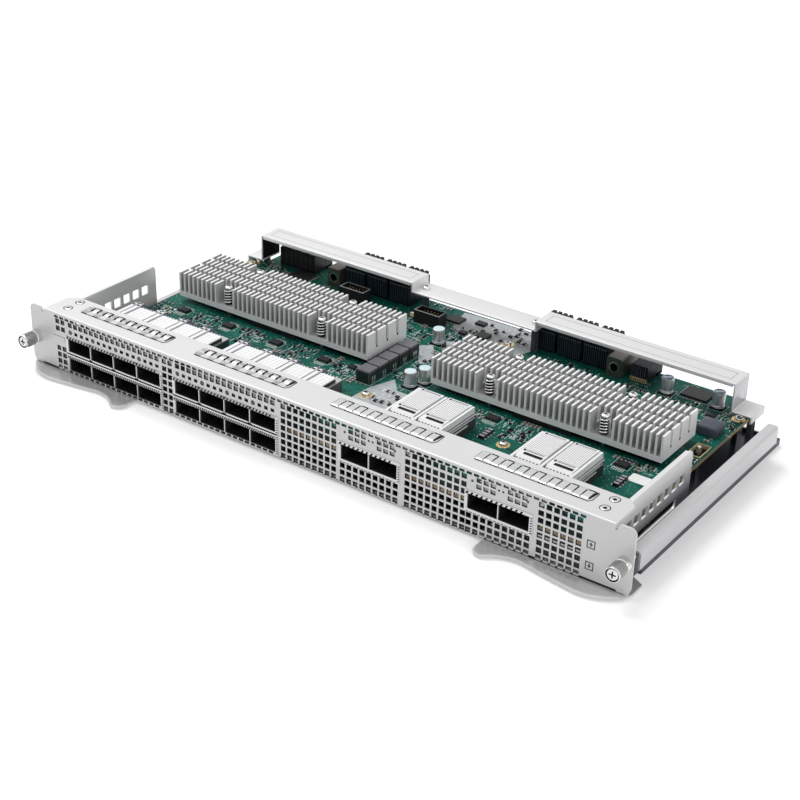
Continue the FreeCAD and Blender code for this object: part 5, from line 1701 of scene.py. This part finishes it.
    def make_rows(self) -> None:
        """Makes the two rows of four small packages with pale tops."""
        stock = Stock()
        for x, y in self.rows:
            for k in range(4):
                low = y - 5.6 + 2.9 * k
                stock.block(about(x, 1.9), (low, low + 2.3), (self.top, self.top + 1.9), 1)
                stock.block(about(x, 1.5), (low + 0.3, low + 2), (self.top + 1.85, self.top + 2), 2)
                for side in (-1, 1):
                    foot = (x + side * 1.9, x + side * 2.9)
                    stock.block(foot, (low + 0.4, low + 1.9), (self.top, self.top + 0.4))
        stock.make("package_rows", [TIN, BLACK_PLASTIC, PAD_GREY])

    def make_crowds(self) -> None:
        """Makes the crowded spots: pale patches of painted glare, strokes, small packages and pads."""
        rng = random.Random(self.seed + 2)
        ink, parts, ground = Stock(), Stock(), Stock()
        # Painted highlight: the pale patches stand for glare on the lacquer.
        for outline in self.pale:
            ground.prism(list(outline), Axis.Z, self.top - 0.02, self.top + 0.02)
        z = (self.top - 0.02, self.top + 0.05)
        for cx, cy, half_x, half_y in self.crowds:
            area = half_x * half_y
            for _ in range(int(area * 0.46)):
                x, y = cx + rng.uniform(-half_x, half_x), cy + rng.uniform(-half_y, half_y)
                long, wide = rng.uniform(1.2, 4.2), rng.uniform(0.22, 0.42)
                size = (wide, long) if rng.random() < 0.6 else (long, wide)
                if self.free(x + size[0] / 2, y + size[1] / 2, 0.4):
                    ink.block((x, x + size[0]), (y, y + size[1]), z)
            for _ in range(int(area * 0.16)):
                x, y = cx + rng.uniform(-half_x, half_x), cy + rng.uniform(-half_y, half_y)
                w, d = rng.choice(((2, 1.2), (1.2, 2), (3, 1.6), (2.4, 2.4)))
                if self.free(x, y, 1.5):
                    tall = rng.uniform(0.7, 1.3)
                    parts.block(about(x, w / 2), about(y, d / 2), (self.top, self.top + tall), 1)
                    for side in (-1, 1):
                        end = (x + side * w / 2, x + side * (w / 2 + 0.45))
                        parts.block(end, about(y, d / 2), (self.top, self.top + tall * 0.8))
                    self.keep_out.append((x - w / 2 - 0.5, x + w / 2 + 0.5, y - d / 2, y + d / 2))
        for x, y, w, d, _ in self.chips[:7]:
            for k in range(6):
                along = x - w / 2 + 0.7 + k * (w - 1.4) / 5
                for y0, y1 in ((y - d / 2 - 4.2, y - d / 2 - 1.1), (y + d / 2 + 1.1, y + d / 2 + 3.6)):
                    ink.block(about(along, 0.16), (y0, y1), z)
        for i in range(3):
            for k in range(3):
                dot = (-179.5 + 4.2 * i, 76 + 5.2 * k, self.top)
                parts.turned([(0.95, -0.02), (0.95, 0.06), (TIP, 0.06)], dot, Axis.Z, 16, 2 if (i + k) % 2 else 0)
        ink.make("crowd_strokes", [INK])
        parts.make("crowd_packages", [TIN, BLACK_PLASTIC, GOLD])
        ground.make("painted_glare_areas", [PALE_GLARE])

    def make_post(self) -> None:
        """Makes the post that stands in the board's slot."""
        post = Stock()
        post.turned([(1.5, 1.2), (1.5, 17.6), (1.1, 18.6), (TIP, 18.6)], (180.7, 131, 0.0), Axis.Z, 24)
        post.make("slot_post", [NICKEL])

    def make_ink(self) -> None:
        """Makes the printed outlines, pads, the bare label and the board's bright edge ring."""
        stock = Stock()
        z = (self.top - 0.02, self.top + 0.03)
        boxes = [(x - w / 2 - 1.4, x + w / 2 + 1.4, y - d / 2 - 1.4, y + d / 2 + 1.4) for x, y, w, d, _ in self.chips]
        boxes += [(*about(x, 5), *about(y, 5)) for x, y in self.cans]
        boxes += [(-21, -8.6, 79, 132.5), (-101, -79, 166, 177.4), (-41.5, -19.5, 167, 178.2)]
        for x0, x1, y0, y1 in boxes:
            for a in (y0, y1 - self.line):
                stock.block((x0, x1), (a, a + self.line), z)
            for a in (x0, x1 - self.line):
                stock.block((a, a + self.line), (y0, y1), z)
        rng = random.Random(self.seed + 1)
        for _ in range(260):
            x, y = rng.uniform(-self.reach, self.reach), rng.choice((rng.uniform(76, 97), rng.uniform(141, 198)))
            if self.free(x, y, 0.6):
                size = (1.1, 0.16) if rng.random() < 0.5 else (0.16, 1.1)
                stock.block((x, x + size[0]), (y, y + size[1]), z)
        stock.make("board_printing", [INK])
        pads = Stock()
        for _ in range(170):
            x, y = rng.uniform(-self.reach, self.reach), rng.choice((rng.uniform(76, 97), rng.uniform(141, 198)))
            if self.free(x, y, 0.6):
                pads.turned([(0.4, -0.02), (0.4, 0.04), (TIP, 0.04)], (x, y, self.top), Axis.Z, 10)
        edge = [(176.4, 185, 123.4, 124), (176.4, 185, 138, 138.6), (176.4, 177, 124, 138)]
        for x0, x1, y0, y1 in edge + [(184.4, 185, 124, 138)]:
            pads.block((x0, x1), (y0, y1), z)
        pads.make("gold_pads", [GOLD])
        label = Stock()
        corners = []
        for cx, cy, first in ((175, 85.3, 0), (165, 85.3, 90), (165, 78.7, 180), (175, 78.7, 270)):
            for step in range(5):
                turn = math.radians(first + 22.5 * step)
                corners.append((cx + math.cos(turn), cy + math.sin(turn)))
        label.prism(corners, Axis.Z, self.top, self.top + 0.12)
        label.make("bare_label", [LABEL])

    def build(self) -> None:
        """Makes the board's parts and dresses those that keep their CAD shape."""
        dress(BOARD_GREEN, "circuit_board")
        dress(BLACK_PLASTIC, "switch_chip_left", "switch_chip_right", "box_headers")
        dress(GOLD, "header_pins")
        self.make_chips()
        self.make_cans()
        self.make_inductors()
        self.stands()
        self.make_rows()
        self.make_crowds()
        self.make_post()
        self.make_passives()
        self.make_ink()
        rim = Stock()
        for x, y in ((-89.9, 171.6), (-30.5, 172.6)):
            z = (self.top + 8.6, self.top + 8.64)
            rim.perforated(about(x, 9.6), about(y, 4.4), z, [(*about(x, 8.9), *about(y, 3.7))], Axis.Z)
        rim.make("header_rims", [PAD_GREY], closed=False)


# ---------- rear connectors ----------


@dataclass
class RearPlugs:
    """Backplane connectors, guide blocks and the two low plugs at the board's rear edge."""

    starts: tuple[float, ...] = (-107.9, 38.6)
    guides: tuple[float, ...] = (-114.3, 98.8)
    guide_height: float = 22.4
    guide_half: Spot = (5.1, 6.3)
    bore: float = 2.8
    wafers: int = 11
    width: float = 16.2
    pitch: float = 18.2
    front: float = 184.5
    back: float = 208
    bottom: float = BOARD_TOP
    top: float = 33.4

    def wafer_block(self, stock: Stock, left: float) -> None:
        """Adds one tall connector made of thin wafers, with teeth at its back.

        Args:
            stock: Where it is added.
            left: Its left end.
        """
        front, back, low, top = self.front, self.back, self.bottom, self.top
        stock.block((left, left + self.width), (front + 0.6, back - 0.6), (low, top - 2.6))
        step = self.width / self.wafers
        for shift, width, y, z, tint in (
            (0.16, step - 0.32, (front + 0.05, front + 0.7), (low, top - 2), 0),
            (0.46, 0.45, (front, front + 0.2), (low + 1, top - 5.4), 1),
            (0.36, 0.6, (front, front + 0.2), (top - 5, top - 3.6), 2),
            (0.16, step - 0.32, (front + 0.2, back - 6), (top - 2.7, top - 1.9), 1),
            (0.16, step - 0.32, (back - 0.7, back), (low + 1, top - 2.4), 0),
        ):
            stock.row(left + shift, step, self.wafers, width, y, z, tint)
        stock.row(left + 0.9, 3.9, 4, 2.4, (back - 6, back), (top - 2.7, top))
        stock.row(left + 3.3, 3.9, 4, 0.9, (back - 4, back - 1), (top - 2.7, top - 1))

    def guide_blocks(self) -> None:
        """Makes the two metal blocks with their guide bores."""
        blocks = Stock()
        sides = 40
        r, z = self.bore, self.guide_height
        for x in self.guides:
            ring = []
            for k in range(sides):
                turn = 2 * math.pi * k / sides
                c, d = math.cos(turn), math.sin(turn)
                reach = 1 / max(abs(c) / self.guide_half[0], abs(d) / self.guide_half[1])
                ring.append(((x + r * c, z + r * d), (x + reach * c, z + reach * d)))
            for k in range(sides):
                (a, b), (c, d) = ring[k], ring[(k + 1) % sides]
                blocks.prism([a, b, d, c], Axis.Y, 180, 205)
            # Painted shade: a black lining inside each bore.
            shade_lining = hoop(r + 0.005, r - 0.05, 180.2, 204.8)
            blocks.turned(shade_lining, (x, 0, z), Axis.Y, 30, 2, hollow=True)
            rim = [(r, 180), (r + 0.5, 179.98), (r + 0.5, 180.2), (r, 180.2)]
            blocks.turned(rim, (x, 0, z), Axis.Y, 30, 1, hollow=True)
            blocks.block(about(x, 4.6), (182, 204), (28.66, 28.72), 3)
        blocks.make(
            "guide_pin_blocks", [GUIDE, NICKEL, SHADOW_BLACK, CERAMIC], ("guide_blocks",), closed=False
        )

    def shell(self, low: Point, high: Point, front: float, top: float, roof: float) -> Stock:
        """The body of a low plug: solid in front, a square mouth at the back.

        Args:
            low: Its node's lowest corner.
            high: Its node's highest corner.
            front: How far its face stands back.
            top: Its height.
            roof: How thick the mouth's roof is.

        Returns:
            Its faces.
        """
        stock = Stock()
        width, mouth = (low[0], high[0]), (high[1] - 8, high[1])
        stock.block(width, (low[1] + front, mouth[0]), (low[2], top))
        stock.block(width, mouth, (roof, top))
        stock.block(width, mouth, (low[2], low[2] + 2))
        stock.row(low[0], high[0] - 1.5 - low[0], 2, 1.5, mouth, (low[2], top))
        return stock

    def power_plug(self) -> None:
        """Makes the power plug with its slotted top and blades."""
        low, high = node_box("power_connector")
        (left, front, foot), (_, back, top) = low, high
        power = self.shell(low, high, 0.0, top - 1.5, top - 3)
        ridge = (front + 0.3, back - 0.4)
        power.row(left + 0.6, 8.4, 4, 3, ridge, (top - 1.6, top - 0.7))
        power.row(left + 4.8, 8.4, 3, 3, ridge, (top - 1.6, top))
        power.row(left + 1, 4.2, 7, 0.4, (front - 0.02, front + 0.3), (foot + 2, top - 2.5), 2)
        power.row(left + 1.6, 4.2, 7, 0.8, (back - 7, back - 1), (foot + 3, foot + 9), 1)
        power.make("power_plug", [PLUG_BLACK, GOLD, BEAM_DARK], ("power_connector",), edge=0.2)

    def signal_plug(self) -> None:
        """Makes the signal plug: dark wafers over a pale comb."""
        low, high = node_box("signal_connector")
        (left, front, foot), (right, _, top) = low, high
        signal = self.shell(low, high, 0.5, top, top - 1.5)
        signal.block((left, right), (front + 0.1, front + 0.6), (foot, foot + 2.6), 1)
        signal.row(left + 0.7, 1.45, 7, 0.8, (front, front + 0.2), (foot + 0.7, foot + 1.7), 2)
        signal.row(left + 0.7, 1.45, 7, 0.3, (front + 0.3, front + 0.6), (foot + 2.8, top - 0.4), 3)
        signal.make("signal_plug", [NAVY, TAN, SHADOW_BLACK, PIPE_GREY], ("signal_connector",), edge=0.1)

    def build(self) -> None:
        """Makes all rear connectors."""
        for side, start in zip(("left", "right"), self.starts):
            stock = Stock()
            for k in range(3):
                self.wafer_block(stock, start + k * self.pitch)
            node = "backplane_connectors_" + side
            stock.make("wafer_plugs_" + side, [NAVY, TEAL, COMB], (node,), edge=0.06)
        self.guide_blocks()
        self.power_plug()
        self.signal_plug()


# ---------- moving parts ----------


@dataclass
class FrontHardware:
    """Levers, thumbscrews and their collars."""

    place: float = 205.3
    height: float = 20
    head: Spot = (-12.6, -4.2)
    tip: float = 124
    rim: Spot = (0.03, 1.1)
    lever_edge: tuple[Spot, ...] = (
        (0, -8.5), (3.6, -14), (10, -12), (18, -7.6), (29.4, -7), (46, -9.9),
        (61, -12), (74, -9.2), (83.5, -2),
    )
    radius: float = 4.35

    def thumbscrew(self, side: int) -> Stock:
        """The captive screw of one ear.

        Args:
            side: 1 for the right ear, -1 for the left.

        Returns:
            Its faces.
        """
        stock = Stock()
        x = side * self.place
        z = self.height
        ridges = 26
        knurl = []
        for k in range(ridges * 2):
            turn = math.pi * k / ridges
            r = self.radius if k % 2 else self.radius - 0.3
            knurl.append((x + r * math.cos(turn), z + r * math.sin(turn)))
        # The knurl takes the painted shade of KNURL_METAL.
        stock.prism(knurl, Axis.Y, self.head[0] + 1.2, self.head[1] - 0.6, 2)
        face = (x, self.head[0], z)
        rim = [(4.2, 1.25), (4.35, 0.95), (4.2, 0.2), (4, 0.0), (3.8, 0.05), (3.7, 1.3)]
        stock.turned(rim, face, Axis.Y, 36, hollow=True)
        stock.turned(hoop(3.75, 3, 1.15, 1.25), face, Axis.Y, 36, 1, hollow=True)
        stud = [(3.15, 1.3), (3.15, 0.5), (2.9, 0.2), (TIP, 0.2)]
        stock.turned(stud, face, Axis.Y, 30)
        arm, half = 2, 0.4
        level = (self.head[0] + 0.15, self.head[0] + 0.6)
        stock.block(about(x, arm), level, about(z, half), 1)
        stock.block(about(x, half), level, about(z, arm), 1)
        rear = [(3.9, self.head[1] - 0.65), (3.9, self.head[1]), (2.55, self.head[1]), (2.55, -0.3)]
        stock.turned(rear + [(1.7, -0.3), (1.7, 8.6), (1.2, 9)], (x, 0, z), Axis.Y, 30)
        for k in range(9):
            y = 1.4 + 0.8 * k
            stock.turned([(1.7, y), (1.75, y + 0.2), (1.7, y + 0.4)], (x, 0, z), Axis.Y, 24)
        return stock

    def lever_rim(self) -> Stock:
        """The rolled edge along the front of the right lever, drawn as a bright strip whose brightness is a painted
        highlight.

        Returns:
            Its faces.
        """
        outer = []
        for first, through, last in zip(self.lever_edge[0::2], self.lever_edge[1::2], self.lever_edge[2::2]):
            outer += self.arc(first, through, last)
        stock = Stock()
        near, far = [], []
        for k, (x, y) in enumerate(outer):
            (x0, y0), (x1, y1) = outer[max(k - 1, 0)], outer[min(k + 1, len(outer) - 1)]
            span = math.hypot(x1 - x0, y1 - y0)
            across = ((y0 - y1) / span, (x1 - x0) / span)
            for row, depth in ((near, self.rim[0]), (far, self.rim[1])):
                row.append((self.tip + x + across[0] * depth, y + across[1] * depth))
        for k in range(len(outer) - 1):
            stock.prism([near[k], near[k + 1], far[k + 1], far[k]], Axis.Z, 2, 2.05)
        return stock

    @staticmethod
    def arc(first: Spot, through: Spot, last: Spot, count: int = 14) -> list[Spot]:
        """Points along the arc through three points.

        Args:
            first: Where it starts.
            through: A point on it.
            last: Where it ends.
            count: How many points.

        Returns:
            The points, without the last one.
        """
        (ax, ay), (bx, by), (cx, cy) = first, through, last
        d = 2 * (ax * (by - cy) + bx * (cy - ay) + cx * (ay - by))
        a2, b2, c2 = ax * ax + ay * ay, bx * bx + by * by, cx * cx + cy * cy
        ox = (a2 * (by - cy) + b2 * (cy - ay) + c2 * (ay - by)) / d
        oy = (a2 * (cx - bx) + b2 * (ax - cx) + c2 * (bx - ax)) / d
        radius = math.hypot(ax - ox, ay - oy)
        start = math.atan2(ay - oy, ax - ox)
        sweep = math.remainder(math.atan2(cy - oy, cx - ox) - start, math.tau)
        turns = [start + sweep * k / count for k in range(count)]
        return [(ox + radius * math.cos(turn), oy + radius * math.sin(turn)) for turn in turns]

    def build(self) -> None:
        """Makes both sides' hardware and dresses the levers."""
        dress(MIRROR_STEEL, "left_lever", "right_lever")
        self.lever_rim().make("right_lever_rim", [LEVER_RIM], body="right_lever")
        self.lever_rim().mirror().make("left_lever_rim", [LEVER_RIM], body="left_lever")
        collars = Stock()
        for name, side in (("right", 1), ("left", -1)):
            node = name + "_thumbscrew"
            finishes = [NICKEL, SHADOW_BLACK, KNURL_METAL]
            self.thumbscrew(side).make(node + "_turned", finishes, (node,), body=node)
            ring = [(2.72, -3.8), (3.9, -3.8), (4.35, -3.3), (4.35, -1), (4.4, -0.7), (4.4, 0.0), (2.72, 0.0)]
            collars.turned(ring, (side * self.place, 0, self.height), Axis.Y, 36, hollow=True)
        collars.make("pressed_collars", [NICKEL], ("thumbscrew_collars",), closed=False)


# ---------- studio ----------


@dataclass
class Studio:
    """A plain pale floor, soft light and the photograph's camera."""

    place: Point = (493, -606, 459.6)
    yaw: float = 35
    pitch: float = 28.05
    roll: float = 1.6
    lens: float = 72.8
    room: float = 0.5
    glow: float = 0.28
    ground: float = -0.0004
    reach: float = 6

    def camera(self) -> None:
        """Sets the camera at the photograph's view."""
        yaw, pitch, roll = (math.radians(a) for a in (self.yaw, self.pitch, self.roll))
        ahead = Vector((-math.sin(yaw) * math.cos(pitch), math.cos(yaw) * math.cos(pitch), -math.sin(pitch)))
        right = Vector((math.cos(yaw), math.sin(yaw), 0.0))
        up = right.cross(ahead)
        across = right * math.cos(roll) + up * math.sin(roll)
        rise = up * math.cos(roll) - right * math.sin(roll)
        data = bpy.data.cameras.new("photo_view")
        data.lens = self.lens
        data.sensor_width = 36
        data.sensor_fit = "HORIZONTAL"
        data.clip_end = 20
        camera = bpy.data.objects.new("photo_view", data)
        turn = Matrix((across, rise, -ahead)).transposed().to_4x4()
        camera.matrix_world = Matrix.Translation(Vector(self.place) * MM) @ turn
        bpy.context.scene.collection.objects.link(camera)
        bpy.context.scene.camera = camera

    def world(self) -> None:
        """Lights the object evenly from a pale room, which diffuse light sees at half strength."""
        world = bpy.data.worlds.new("pale_room")
        bpy.context.scene.world = world
        world.use_nodes = True
        nodes = Nodes(world.node_tree)
        ground = nodes.tree.nodes["Background"]
        ground.inputs["Color"].default_value = (1, 1, 1, 1)
        seen = self.seen(nodes, "Is Camera Ray", "Is Glossy Ray", "Is Transmission Ray")
        strength = nodes.math("ADD", nodes.math("MULTIPLY", seen, 1 - self.room), self.room)
        nodes.feed(strength, ground.inputs["Strength"])

    def seen(self, nodes: Nodes, *kinds: str) -> object:
        """A mask of the rays of the named kinds.

        Args:
            nodes: Where it is added.
            kinds: Outputs of the Light Path node.

        Returns:
            The mask's socket.
        """
        rays = nodes.add("LightPath").outputs
        mask = rays[kinds[0]]
        for kind in kinds[1:]:
            mask = nodes.math("MAXIMUM", mask, rays[kind])
        return mask

    def floor(self) -> None:
        """Lays the floor, which is white where nothing shades it."""
        mesh = bpy.data.meshes.new("floor")
        r = self.reach
        mesh.from_pydata([(-r, -r, 0), (r, -r, 0), (r, r, 0), (-r, r, 0)], [], [(0, 1, 2, 3)])
        floor = bpy.data.objects.new("floor", mesh)
        floor.location.z = self.ground
        bpy.context.scene.collection.objects.link(floor)
        material = bpy.data.materials.new("pale_floor")
        material.use_nodes = True
        nodes = Nodes(material.node_tree)
        glow = nodes.math("MULTIPLY", self.seen(nodes, "Is Camera Ray", "Is Glossy Ray"), self.glow)
        for label, value in (
            ("Base Color", (0.9, 0.9, 0.91, 1)), ("Roughness", 0.9), ("Specular IOR Level", 0.1),
            ("Emission Color", (1, 1, 1, 1)), ("Emission Strength", glow),
        ):
            nodes.feed(value, nodes.tree.nodes["Principled BSDF"].inputs[label])
        mesh.materials.append(material)

    def lamp(self, name: str, place: Point, target: Point, size: float, power: float) -> None:
        """Adds a soft square lamp.

        Args:
            name: Its name.
            place: Where it hangs, in metres.
            target: The point it faces.
            size: Its side in metres.
            power: Its power in watts.
        """
        data = bpy.data.lights.new(name, "AREA")
        data.size = size
        data.energy = power
        lamp = bpy.data.objects.new(name, data)
        lamp.location = place
        aim = Vector(target) - Vector(place)
        lamp.rotation_euler = aim.to_track_quat("-Z", "Y").to_euler()
        bpy.context.scene.collection.objects.link(lamp)

    def build(self) -> None:
        """Sets up floor, lights and camera."""
        self.camera()
        self.world()
        self.floor()
        self.lamp("soft_key", (-0.9, 0.3, 1.6), (0.0, 0.1, 0.0), 1.2, 22.5)
        self.lamp("soft_side", (1.8, -0.5, 0.9), (0.0, 0.0, 0.0), 1, 9)
        bpy.context.scene.view_settings.view_transform = "Standard"


@dataclass
class Card:
    """The whole line card, built from its sub-assemblies."""

    @staticmethod
    def standoffs() -> list[Spot]:
        """Places of the board's screws."""
        places = [(x, y) for x in (-182.5, 182.5) for y in (66, 178)]
        return places + [(91.4, 68.6), (-4, 68.6), (-47, 178), (25, 178)]

    @staticmethod
    def sink_screws() -> list[Spot]:
        """Places of the heat sinks' screws."""
        return [(c + x, y) for c in SINKS.values() for x in SINK_SCREWS_X for y in (103.1, 134.4)]

    def build(self) -> None:
        """Builds every sub-assembly in order."""
        Faceplate().build()
        FlushScrews().build()
        for number in range(1, 5):
            GasketStrip(number).build()
        SidePlates().build()
        RearBeam().build()
        for number, centre in STACKED.items():
            PortGroup(number, centre, 4, True).build()
        for number, centre in SINGLE.items():
            PortGroup(number, centre, 2, False).build()
        for number, centre in STACKED.items():
            LightPipes(number, centre).build()
        for number, centre in SINGLE.items():
            CageRiders(number, centre).build()
        for side, centre in SINKS.items():
            HeatSink(side, centre).build()
        places = self.sink_screws()
        PanScrews("sink_screw_heads", "heat_sink_screws", places, 34, 2.7, shank=1.35, depth=17.8).build()
        SinkSprings(self.sink_screws()).build()
        PanScrews("board_screw_heads", "board_screws", self.standoffs(), BOARD_TOP, ring=True).build()
        PanScrews("beam_screw_heads", "beam_screws", [(-40, 181.25), (42.3, 181.25)], 34.6).build()
        BoardParts().build()
        RearPlugs().build()
        FrontHardware().build()


def main() -> None:
    """Builds the card and its studio."""
    logging.basicConfig(level=logging.INFO, format="%(message)s")
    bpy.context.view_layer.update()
    Card().build()
    Studio().build()


if __name__ == "__main__":
    main()
